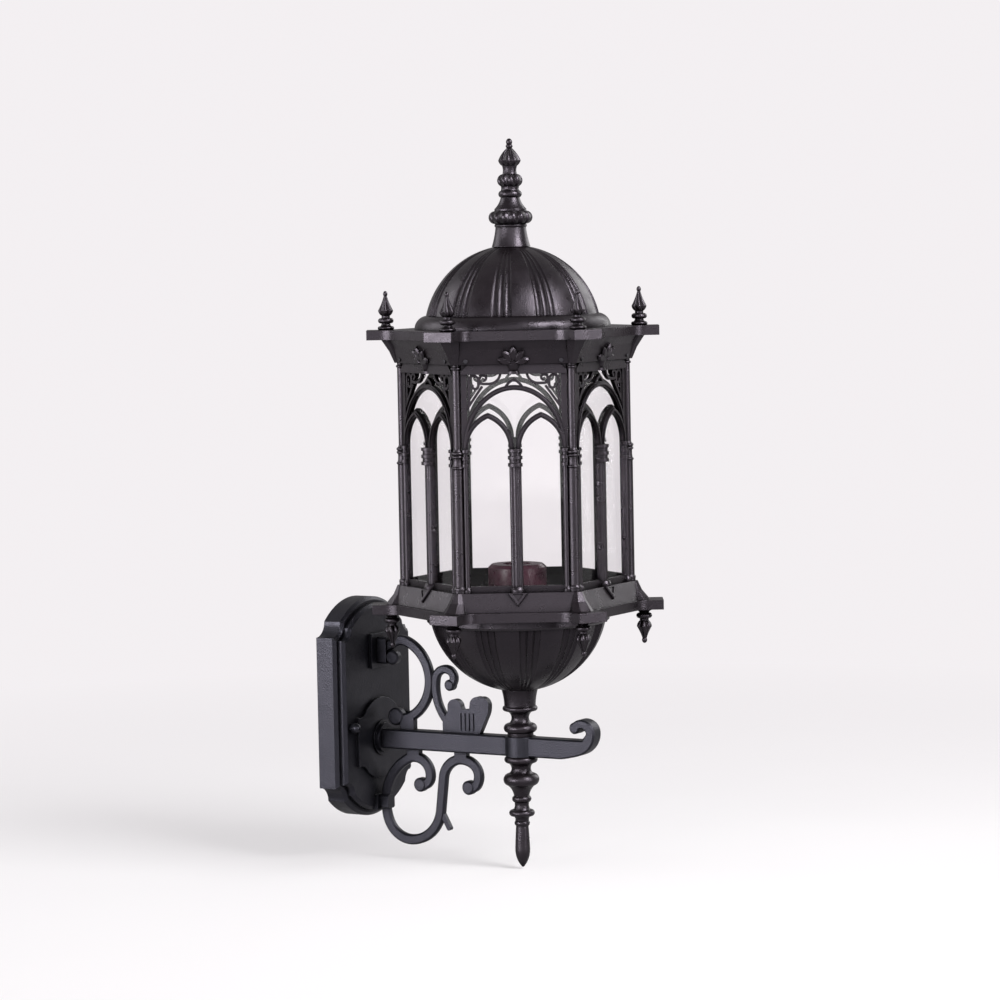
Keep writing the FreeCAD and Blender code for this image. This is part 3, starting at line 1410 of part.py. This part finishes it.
def panel_shape():
    half, height = size("panel_half_width"), size("panel_height")
    sheet_depth, edge = size("panel_sheet"), size("edge_width")
    sill, spring = size("sill_height"), value(SPRING)
    inner = half - edge
    column_half = size("column_width") / 2
    light_half = (inner - column_half) / 2
    centre = column_half + light_half
    arch_half, rise, band = half - size("arch_inset"), size("arch_rise"), size("arch_band")
    lancet_rise, lancet_band = size("lancet_rise"), size("lancet_band")
    rail = height - size("rail_height")
    through = THROUGH * sheet_depth

    def light(side, grow):
        return lancet(side * centre, light_half, lancet_rise, grow, sill, spring)

    base = slab(outline([(-half, 0), (half, 0), (half, height), (-half, height)]), sheet_depth)
    lights = [slab(light(side, 0), through, -sheet_depth) for side in (-1, 1)]
    frames = [slab(light(side, lancet_band), through, -sheet_depth) for side in (-1, 1)]
    eye = slab(half_arch(arch_half - band, rise - band, spring), through, -sheet_depth).cut(frames)
    corners = [(-inner, spring), (inner, spring), (inner, rail), (-inner, rail)]
    spandrel = slab(outline(corners), through, -sheet_depth)
    spandrel = spandrel.cut(slab(half_arch(arch_half, rise, spring), through, -sheet_depth))
    solid = base.cut(lights + [eye, spandrel])

    rib, rib_front = size("rib_width"), size("rib_rise")
    margin = (band - rib) / 2
    arch_rib = slab(half_arch(arch_half - margin, rise - margin, spring), sheet_depth + rib_front).cut(
        slab(half_arch(arch_half - margin - rib, rise - margin - rib, spring), through, -sheet_depth))
    additions = [arch_rib]
    low, high = (lancet_band - rib) / 2, (lancet_band + rib) / 2
    for side in (-1, 1):
        hood = lancet(side * centre, light_half, lancet_rise, high, spring - rib, spring)
        outer = slab(hood, sheet_depth + rib_front)
        additions.append(outer.cut(slab(light(side, low), through, -sheet_depth)))
    corner = size("rail_corner")
    corners = [(-half, rail), (half, rail), (half, height - corner), (half - corner, height),
               (corner - half, height), (-half, height - corner)]
    additions.append(slab(outline(corners), sheet_depth + size("rail_rise")))
    additions += [column(0, column_half, sheet_depth, True), cup(height, size("cup_sink"))]
    for side in (-1, 1):
        place = side * (half - edge / 2)
        strip = Part.makeBox(edge, rail - spring, sheet_depth, Vector(place - edge / 2, spring, 0))
        additions += [column(place, edge / 2 - size("edge_column_inset"), sheet_depth, False), strip]
    mirror = Vector(1, 0, 0)
    opening = slab(half_arch(arch_half - band, rise - band, spring), through, -sheet_depth)
    for piece, (_, _, _, moves) in SPANDREL.items():
        face, _, _ = ribbon(piece, moves, size("spandrel_width"))
        face.translate(Vector(0, height, 0))
        scroll = face.extrude(Vector(0, 0, size("spandrel_thickness"))).cut(opening)
        additions += [scroll, scroll.mirror(Vector(), mirror)]
    limit = Part.makeBox(2 * half, height, through, Vector(-half, 0, 0))
    rooms = [post_room(side) for side in (-1, 1)]
    return solid.fuse(additions).common(limit).cut(rooms).removeSplitter()


def side_placement(index, inradius, level):
    """Placement of a flat piece against one side of the hexagon."""
    angle = math.radians(PITCH * (index + 0.5))
    outward = Vector(math.cos(angle), math.sin(angle), 0)
    across = Vector(-math.sin(angle), math.cos(angle), 0)
    turn = Rotation(across, Vector(0, 0, 1), outward, "ZXY")
    return Placement(axis_point(level) + outward * inradius, turn)


def make_sides():
    shape = panel_shape()
    thickness, gap = size("pane_thickness"), size("fit_gap")
    front = size("panel_inradius") - gap
    width = size("pane_width")
    tall = value(f"({FRIEZE_FOOT}) - ({FLOOR})") - gap
    for i in range(SIDES):
        part(f"side_panel_{i + 1}", shape.copy(), side_placement(i, size("panel_inradius"), PANEL_FOOT))
        pane = Part.makeBox(width, tall, thickness, Vector(-width / 2, 0, -thickness))
        part(f"glass_pane_{i + 1}", pane, side_placement(i, front, FLOOR))


def make_corners():
    for i in range(SIDES):
        post = revolve(f"corner_post_{i + 1}", turned_path("corner_post"))
        stand(post, PANEL_FOOT, PITCH * i, "post_circle")
        finial = revolve(f"corner_finial_{i + 1}", turned_path("corner_finial"))
        stand(finial, ROOF, PITCH * i, FINIAL_CIRCLE)
        pendant = revolve(f"corner_pendant_{i + 1}", turned_path("corner_pendant"))
        stand(pendant, BRIM_UNDER, PITCH * i, FINIAL_CIRCLE, hanging=True)


# Lampholder
def make_lampholder():
    disc = revolve("holder_plate", [
        ("tube_radius", "0"),
        ("holder_plate_radius", "0"),
        ("holder_plate_radius", "holder_plate_thickness"),
        ("tube_radius", "holder_plate_thickness"),
    ])
    stand(disc, FLOOR)
    holder = revolve("lampholder", [
        ("holder_hollow_radius", "0"),
        ("holder_radius", "0"),
        ("holder_radius", "holder_height - holder_lip_height"),
        ("holder_lip_radius", "holder_height"),
        ("socket_radius", "holder_height"),
        ("socket_radius", "holder_height - socket_depth"),
        ("0", "holder_height - socket_depth"),
        ("0", "holder_hollow_height"),
        ("holder_hollow_radius", "holder_hollow_height"),
    ])
    stand(holder, f"{FLOOR} + holder_plate_thickness")


make_back_plate()
make_wall_fixing()
make_arm()
make_scrolls()
make_stem()
make_bowl()
make_tray()
make_sides()
make_corners()
make_cornice()
make_dome()
make_roof_screws()
make_lampholder()

doc.recompute()
failed = [item.Label for item in doc.Objects if "Invalid" in item.State or "Error" in item.State]
broken = [item.Label for item in nodes if item.Shape.isNull() or not item.Shape.isValid()]
if failed or broken:
    raise RuntimeError(f"failed: {failed}; without a valid shape: {broken}")

os.makedirs("parts", exist_ok=True)
for item in nodes:
    item.Shape.exportStep(f"parts/{item.Label}.step")
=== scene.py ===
import json
import math

import bpy
from mathutils import Matrix, Vector


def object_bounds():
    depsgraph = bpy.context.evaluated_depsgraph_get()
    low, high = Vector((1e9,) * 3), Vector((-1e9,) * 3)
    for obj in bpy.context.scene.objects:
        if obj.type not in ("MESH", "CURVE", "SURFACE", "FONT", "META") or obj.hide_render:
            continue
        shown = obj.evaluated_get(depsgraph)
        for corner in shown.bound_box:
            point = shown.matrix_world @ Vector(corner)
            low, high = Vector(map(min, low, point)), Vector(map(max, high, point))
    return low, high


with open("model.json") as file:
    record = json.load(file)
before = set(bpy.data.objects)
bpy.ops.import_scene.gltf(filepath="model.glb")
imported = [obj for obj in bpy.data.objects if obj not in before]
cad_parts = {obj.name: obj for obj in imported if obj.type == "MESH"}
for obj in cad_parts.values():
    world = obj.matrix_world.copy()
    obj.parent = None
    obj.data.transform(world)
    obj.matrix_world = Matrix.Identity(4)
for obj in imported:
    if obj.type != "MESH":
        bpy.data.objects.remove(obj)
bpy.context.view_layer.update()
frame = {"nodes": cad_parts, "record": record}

# Viewpoint in metres and radians, measured from the axis of the lantern
AXIS = Vector((0.0, -0.1836, 0.0))
VIEW_AZIMUTH = math.radians(-60.0)
CAMERA_DISTANCE = 3.3969
CAMERA_HEIGHT = 0.4709
CAMERA_PITCH = 0.0746
CAMERA_ROLL = 0.0197
CAMERA_YAW = -0.0044
FOCAL_SHARE = 3.64386
SENSOR = 36.0

# Paints: dark tone, light tone, tint of the sheen, roughness and strength of the fine grain
LANTERN_PAINT = ((0.0024, 0.0016, 0.002), (0.005, 0.0034, 0.0041), (0.96, 0.85, 1.0), 0.31, 0.7)
BRACKET_PAINT = ((0.0032, 0.0034, 0.0046), (0.006, 0.0062, 0.008), (0.84, 0.81, 1.0), 0.37, 0.7)
SCREW_PAINT = ((0.004, 0.004, 0.0043), (0.007, 0.007, 0.0075), (0.92, 0.85, 1.0), 0.34, 0.3)
PAINT_IOR = 1.5
PAINT_CLOUD_SCALE = 28.0
PAINT_GLOSS_SCALE = 90.0
PAINT_SMOOTHER = 0.05
PAINT_ROUGHER = 0.06

# Painted shade in the hollows of the castings: reach in metres, range of openness, and the darkened tone
# and dimmed reflection painted there
PAINTED_SHADE_REACH = 0.008
PAINTED_SHADE_OPENNESS = (0.35, 0.97)
PAINTED_SHADE_TONE = (0.2, 1.0)
PAINTED_SHADE_GLOSS = (0.08, 0.56)
EDGE_RADIUS = 0.0007
SURFACE_SAMPLES = 4

# Grain of the coating and relief of the carving, with depths in metres
FINE_GRAIN_SCALE = 800.0
FINE_GRAIN_DEPTH = 0.0003
COARSE_GRAIN_SCALE = 260.0
COARSE_GRAIN_STRENGTH = 0.05
COARSE_GRAIN_DEPTH = 0.0006
CARVING_STRENGTH = 0.9
CARVING_DEPTH = 0.0022

# Carved bands of the finials: hanging or not, then low end, high end, lobes and twist of each band
CARVED = {
    "top_finial": (False, [
        (0.0212, 0.0332, 14, 60.0),
        (0.0561, 0.0673, 9, 140.0),
        (0.0749, 0.0914, 8, 90.0),
    ]),
    "corner_finial": (False, [(0.0132, 0.0316, 6, 70.0)]),
    "corner_pendant": (True, [(0.0112, 0.028, 6, 70.0)]),
}

# Glass of the panes
GLASS_IOR = 1.45
GLASS_CLEAR = (0.995, 0.99, 0.993)
GLASS_HAZE = (0.97, 0.965, 0.97)
GLASS_HAZE_SCALE = 9.0
GLASS_STREAK_SCALE = 40.0
GLASS_ROUGHNESS = (0.01, 0.05)

# Plated fittings behind the plate and inside the lantern
STEEL_DARK = (0.52, 0.52, 0.5)
STEEL_LIGHT = (0.68, 0.68, 0.66)
STEEL_CLOUD_SCALE = 140.0
STEEL_BRUSH_SCALE = 400.0
STEEL_ROUGHNESS = (0.28, 0.45)

# Moulded lampholder and wire connector: dark tone, light tone and roughness
HOLDER_BODY = ((0.02, 0.0035, 0.009), (0.052, 0.013, 0.025), 0.3)
CONNECTOR_BODY = ((0.74, 0.71, 0.63), (0.8, 0.78, 0.7), 0.5)
MOULDED_IOR = 1.48
MOULDED_CLOUD_SCALE = 60.0
MOULDED_GLOSS_SCALE = 220.0
MOULDED_GLOSS_SPREAD = 0.06
MOULDED_GRAIN_SCALE = 900.0
MOULDED_GRAIN_STRENGTH = 0.2
MOULDED_GRAIN_DEPTH = 0.0003

# Pale backdrop and floor, with lengths in metres
BACKDROP = (1.0, 0.965, 0.985)
BACKDROP_GLOW = 0.9
STUDIO_GLOW = 0.09
REFLECTED_SHARE = 0.25
FLOOR_GAP = 0.002
FLOOR_SIZE = 40.0
FLOOR_DIM = (0.12, 0.118, 0.12)
FLOOR_PALE = (0.9, 0.89, 0.9)
FLOOR_SHADE_SCALE = 2.0
FLOOR_SHADE = (0.97, 1.0)
FLOOR_FADE_REACH = (0.35, 1.6)
FLOOR_FADE = (0.55, 1.0)

# Softboxes: name, azimuth and height in degrees, distance and width in metres, power in watts
SOFTBOXES = [
    ("key", -10.0, 38.0, 2.4, 1.1, 74.0),
    ("street_side", -6.0, 6.0, 3.0, 1.0, 26.0),
    ("fill", -60.0, 14.0, 4.6, 3.2, 50.0),
    ("column_side", -100.0, 5.0, 3.0, 0.8, 34.0),
    ("wall_side", -122.0, 3.0, 3.0, 1.2, 44.0),
    ("back_fill", -165.0, 22.0, 4.0, 2.6, 50.0),
    ("far_fill", 78.0, 18.0, 4.0, 2.2, 34.0),
]
SOFTBOX_AIM = AXIS + Vector((0.0, 0.0, 0.25))

# Range of values that the noise mostly keeps to
NOISE_RANGE = (0.35, 0.65)

scene = bpy.context.scene
scene.view_settings.view_transform = "Standard"


# Building blocks of the finishes
def new_material(name):
    material = bpy.data.materials.new(name)
    material.use_nodes = True
    tree = material.node_tree
    tree.nodes.clear()
    output = tree.nodes.new("ShaderNodeOutputMaterial")
    place = tree.nodes.new("ShaderNodeTexCoord").outputs["Object"]
    return material, tree, output.inputs["Surface"], place


def add(tree, kind, values=None, **settings):
    node = tree.nodes.new(kind)
    for name, setting in settings.items():
        setattr(node, name, setting)
    for name, number in (values or {}).items():
        node.inputs[name].default_value = number
    return node


def noise(tree, place, scale, detail=3.0, roughness=0.55):
    values = {"Scale": scale, "Detail": detail, "Roughness": roughness}
    node = add(tree, "ShaderNodeTexNoise", values)
    tree.links.new(place, node.inputs["Vector"])
    return node.outputs["Fac"]


def spread(tree, source, result, given=NOISE_RANGE):
    """Value that runs over the result's range while the source runs over the given one."""
    values = {"From Min": given[0], "From Max": given[1], "To Min": result[0], "To Max": result[1]}
    node = add(tree, "ShaderNodeMapRange", values)
    tree.links.new(source, node.inputs["Value"])
    return node.outputs["Result"]


def calculate(tree, operation, first, second=None):
    node = add(tree, "ShaderNodeMath", operation=operation)
    for socket, source in zip(node.inputs, (first, second)):
        if isinstance(source, float):
            socket.default_value = source
        elif source is not None:
            tree.links.new(source, socket)
    return node.outputs["Value"]


def mixed_colour(tree, factor, first, second):
    node = add(tree, "ShaderNodeMix", data_type="RGBA")
    node.inputs["A"].default_value = (*first, 1.0)
    node.inputs["B"].default_value = (*second, 1.0)
    tree.links.new(factor, node.inputs["Factor"])
    return node.outputs["Result"]


def mixed_shader(tree, factor, first, second):
    node = add(tree, "ShaderNodeMixShader")
    tree.links.new(factor, node.inputs["Fac"])
    tree.links.new(first, node.inputs[1])
    tree.links.new(second, node.inputs[2])
    return node.outputs["Shader"]


def relief(tree, height, strength, depth, normal=None):
    node = add(tree, "ShaderNodeBump", {"Strength": strength, "Distance": depth})
    tree.links.new(height, node.inputs["Height"])
    if normal is not None:
        tree.links.new(normal, node.inputs["Normal"])
    return node.outputs["Normal"]


def lobes(tree, place, carving):
    """Height of twisted lobes around an upright axis, between two levels."""
    (x, y), (low, high), count, twist = carving
    parts = add(tree, "ShaderNodeSeparateXYZ")
    tree.links.new(place, parts.inputs["Vector"])
    across = calculate(tree, "SUBTRACT", parts.outputs["X"], x)
    along = calculate(tree, "SUBTRACT", parts.outputs["Y"], y)
    rise = calculate(tree, "SUBTRACT", parts.outputs["Z"], low)
    angle = calculate(tree, "ARCTAN2", along, across)
    around = calculate(tree, "MULTIPLY", angle, float(count))
    lean = calculate(tree, "MULTIPLY", rise, twist)
    half_turn = calculate(tree, "MULTIPLY", calculate(tree, "ADD", around, lean), 0.5)
    ridge = calculate(tree, "ABSOLUTE", calculate(tree, "SINE", half_turn))
    share = calculate(tree, "DIVIDE", rise, high - low)
    above = calculate(tree, "GREATER_THAN", share, 0.0)
    below = calculate(tree, "LESS_THAN", share, 1.0)
    return calculate(tree, "MULTIPLY", ridge, calculate(tree, "MULTIPLY", above, below))


# Finishes of the lantern
def powder_coat(name, dark, light, sheen, roughness, grain, carvings=()):
    """Satin paint over cast metal: rounded edges, a pebbled grain, cloudiness, and painted shade that
    darkens the colour and dims the reflection in the hollows.
    """
    material, tree, surface, place = new_material(name)
    values = {"IOR": PAINT_IOR, "Specular Tint": (*sheen, 1.0)}
    shader = add(tree, "ShaderNodeBsdfPrincipled", values)

    cloud = spread(tree, noise(tree, place, PAINT_CLOUD_SCALE, detail=4.0), (0.0, 1.0))
    # Painted shade: ambient occlusion darkens the paint colour in hollows, creases and between parts
    occlusion = add(tree, "ShaderNodeAmbientOcclusion", {"Distance": PAINTED_SHADE_REACH}, samples=SURFACE_SAMPLES)
    depth = spread(tree, occlusion.outputs["AO"], PAINTED_SHADE_TONE, PAINTED_SHADE_OPENNESS)
    paint = add(tree, "ShaderNodeMix", data_type="RGBA", blend_type="MULTIPLY")
    paint.inputs["Factor"].default_value = 1.0
    tree.links.new(mixed_colour(tree, cloud, dark, light), paint.inputs["A"])
    tree.links.new(depth, paint.inputs["B"])
    tree.links.new(paint.outputs["Result"], shader.inputs["Base Color"])
    # Painted shade: the reflection is dimmed in the same hollows
    shaded_gloss = spread(tree, depth, PAINTED_SHADE_GLOSS, PAINTED_SHADE_TONE)
    tree.links.new(shaded_gloss, shader.inputs["Specular IOR Level"])
    rough = (roughness - PAINT_SMOOTHER, roughness + PAINT_ROUGHER)
    tree.links.new(spread(tree, noise(tree, place, PAINT_GLOSS_SCALE), rough), shader.inputs["Roughness"])

    fine = noise(tree, place, FINE_GRAIN_SCALE, detail=2.0, roughness=0.5)
    coarse = noise(tree, place, COARSE_GRAIN_SCALE, detail=2.0, roughness=0.5)
    edges = add(tree, "ShaderNodeBevel", {"Radius": EDGE_RADIUS}, samples=SURFACE_SAMPLES)
    normal = relief(tree, fine, grain, FINE_GRAIN_DEPTH, edges.outputs["Normal"])
    normal = relief(tree, coarse, COARSE_GRAIN_STRENGTH, COARSE_GRAIN_DEPTH, normal)
    for carving in carvings:
        normal = relief(tree, lobes(tree, place, carving), CARVING_STRENGTH, CARVING_DEPTH, normal)
    tree.links.new(normal, shader.inputs["Normal"])
    tree.links.new(shader.outputs["BSDF"], surface)
    return material


def clear_glass(name):
    """Thin clear pane with a faint haze, streaks and a reflection on its outer face."""
    material, tree, surface, place = new_material(name)
    haze = spread(tree, noise(tree, place, GLASS_HAZE_SCALE), (0.0, 1.0))
    through = add(tree, "ShaderNodeBsdfTransparent")
    tree.links.new(mixed_colour(tree, haze, GLASS_CLEAR, GLASS_HAZE), through.inputs["Color"])
    streaks = noise(tree, place, GLASS_STREAK_SCALE, detail=2.0)
    mirror = add(tree, "ShaderNodeBsdfGlossy", {"Color": (1.0, 1.0, 1.0, 1.0)})
    tree.links.new(spread(tree, streaks, GLASS_ROUGHNESS), mirror.inputs["Roughness"])
    slant = add(tree, "ShaderNodeFresnel", {"IOR": GLASS_IOR}).outputs["Fac"]
    inner = add(tree, "ShaderNodeNewGeometry").outputs["Backfacing"]
    share = calculate(tree, "MULTIPLY", slant, calculate(tree, "SUBTRACT", 1.0, inner))
    tree.links.new(mixed_shader(tree, share, through.outputs["BSDF"], mirror.outputs["BSDF"]), surface)
    return material


def plated_steel(name):
    """Zinc-plated steel with fine brushing."""
    material, tree, surface, place = new_material(name)
    shader = add(tree, "ShaderNodeBsdfPrincipled", {"Metallic": 1.0})
    cloud = spread(tree, noise(tree, place, STEEL_CLOUD_SCALE), (0.0, 1.0))
    brushing = noise(tree, place, STEEL_BRUSH_SCALE)
    tree.links.new(mixed_colour(tree, cloud, STEEL_DARK, STEEL_LIGHT), shader.inputs["Base Color"])
    tree.links.new(spread(tree, brushing, STEEL_ROUGHNESS), shader.inputs["Roughness"])
    tree.links.new(shader.outputs["BSDF"], surface)
    return material


def moulded(name, dark, light, roughness):
    """Moulded body with a faint grain."""
    material, tree, surface, place = new_material(name)
    shader = add(tree, "ShaderNodeBsdfPrincipled", {"IOR": MOULDED_IOR})
    cloud = spread(tree, noise(tree, place, MOULDED_CLOUD_SCALE), (0.0, 1.0))
    tree.links.new(mixed_colour(tree, cloud, dark, light), shader.inputs["Base Color"])
    rough = (roughness - MOULDED_GLOSS_SPREAD, roughness + MOULDED_GLOSS_SPREAD)
    tree.links.new(spread(tree, noise(tree, place, MOULDED_GLOSS_SCALE), rough), shader.inputs["Roughness"])
    grain = noise(tree, place, MOULDED_GRAIN_SCALE, detail=2.0)
    normal = relief(tree, grain, MOULDED_GRAIN_STRENGTH, MOULDED_GRAIN_DEPTH)
    tree.links.new(normal, shader.inputs["Normal"])
    tree.links.new(shader.outputs["BSDF"], surface)
    return material


def family(node):
    """Name that the numbered copies of a piece share."""
    return node.rstrip("_123456")


def finial_paint(node, item):
    """Lantern paint with the carved bands of one finial around its own axis."""
    hanging, bands = CARVED[family(node)]
    corners = [Vector(corner) for corner in item.bound_box]
    middle = sum(corners, Vector()) / len(corners)
    low = min(corner.z for corner in corners)
    high = max(corner.z for corner in corners)
    carvings = []
    for start, end, count, twist in bands:
        levels = (high - end, high - start) if hanging else (low + start, low + end)
        carvings.append(((middle.x, middle.y), levels, count, twist))
    return powder_coat(f"carved_{node}", *LANTERN_PAINT, carvings)


FINISHES = {
    "lantern_paint": powder_coat("lantern_paint", *LANTERN_PAINT),
    "bracket_paint": powder_coat("bracket_paint", *BRACKET_PAINT),
    "screw_paint": powder_coat("screw_paint", *SCREW_PAINT),
    "clear_glass": clear_glass("clear_glass"),
    "holder_body": moulded("holder_body", *HOLDER_BODY),
    "plated_steel": plated_steel("plated_steel"),
    "connector": moulded("connector", *CONNECTOR_BODY),
}

for row in frame["record"]["subparts"]:
    node = row["node"]
    item = frame["nodes"][node]
    finish = finial_paint(node, item) if family(node) in CARVED else FINISHES[row["material_slot"]]
    item.data.materials.clear()
    item.data.materials.append(finish)


# Floor and backdrop
def backdrop_share(tree):
    """Share of the pale backdrop that is seen: all straight on or through glass, part in reflections."""
    ray = add(tree, "ShaderNodeLightPath").outputs
    seen = calculate(tree, "MULTIPLY", ray["Is Glossy Ray"], REFLECTED_SHARE)
    for kind in ("Is Transmission Ray", "Is Camera Ray"):
        seen = calculate(tree, "MAXIMUM", seen, ray[kind])
    return seen


def pale_floor(name):
    """Pale matt floor that runs into the backdrop, and that throws little light up."""
    material, tree, surface, place = new_material(name)
    seen = backdrop_share(tree)
    shade = spread(tree, noise(tree, place, FLOOR_SHADE_SCALE), FLOOR_SHADE)
    tone = calculate(tree, "MULTIPLY", shade, seen)
    matt = add(tree, "ShaderNodeBsdfDiffuse")
    tree.links.new(mixed_colour(tree, tone, FLOOR_DIM, FLOOR_PALE), matt.inputs["Color"])
    glow = add(tree, "ShaderNodeEmission", {"Color": (*BACKDROP, 1.0), "Strength": BACKDROP_GLOW})
    reach = add(tree, "ShaderNodeVectorMath", operation="LENGTH")
    tree.links.new(place, reach.inputs[0])
    fade = spread(tree, reach.outputs["Value"], FLOOR_FADE, FLOOR_FADE_REACH)
    share = calculate(tree, "MULTIPLY", fade, seen)
    tree.links.new(mixed_shader(tree, share, matt.outputs["BSDF"], glow.outputs["Emission"]), surface)
    return material


floor_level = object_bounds()[0][2] - FLOOR_GAP
bpy.ops.mesh.primitive_plane_add(size=FLOOR_SIZE, location=(AXIS.x, AXIS.y, floor_level))
floor = bpy.context.object
floor.name = "floor"
floor.data.materials.append(pale_floor("pale_floor"))

world = bpy.data.worlds.new("studio")
world.use_nodes = True
scene.world = world
sky = world.node_tree
background = sky.nodes["Background"]
background.inputs["Color"].default_value = (*BACKDROP, 1.0)
strength = spread(sky, backdrop_share(sky), (STUDIO_GLOW, BACKDROP_GLOW), (0.0, 1.0))
sky.links.new(strength, background.inputs["Strength"])


# Lights and viewpoint
def softbox(name, azimuth, height, distance, width, power):
    """Square area light that faces the middle of the lantern."""
    angle = math.radians(azimuth)
    rise = math.radians(height)
    level = Vector((math.sin(angle), -math.cos(angle), 0.0))
    direction = level * math.cos(rise) + Vector((0.0, 0.0, math.sin(rise)))
    data = bpy.data.lights.new(name, "AREA")
    data.size = width
    data.energy = power
    lamp = bpy.data.objects.new(name, data)
    lamp.location = SOFTBOX_AIM + direction * distance
    lamp.rotation_euler = direction.to_track_quat("Z", "Y").to_euler()
    scene.collection.objects.link(lamp)


def viewpoint(name):
    """Camera beside the lantern, turned by a small yaw, pitch and roll from its level line of sight."""
    toward = Vector((math.sin(VIEW_AZIMUTH), -math.cos(VIEW_AZIMUTH), 0.0))
    right = Vector((math.cos(VIEW_AZIMUTH), math.sin(VIEW_AZIMUTH), 0.0))
    level = Matrix((right, (0.0, 0.0, 1.0), -toward))
    yaw = Matrix.Rotation(-CAMERA_YAW, 3, "Y")
    pitch = Matrix.Rotation(-CAMERA_PITCH, 3, "X")
    roll = Matrix.Rotation(CAMERA_ROLL, 3, "Z")
    across, upward, ahead = roll @ pitch @ yaw @ level
    turn = Matrix((across, upward, -ahead)).transposed()
    data = bpy.data.cameras.new(name)
    data.sensor_width = SENSOR
    data.lens = FOCAL_SHARE * SENSOR
    camera = bpy.data.objects.new(name, data)
    spot = AXIS + toward * CAMERA_DISTANCE
    spot.z = CAMERA_HEIGHT
    camera.matrix_world = Matrix.Translation(spot) @ turn.to_4x4()
    scene.collection.objects.link(camera)
    scene.camera = camera


for box in SOFTBOXES:
    softbox(*box)
viewpoint("photo_camera")
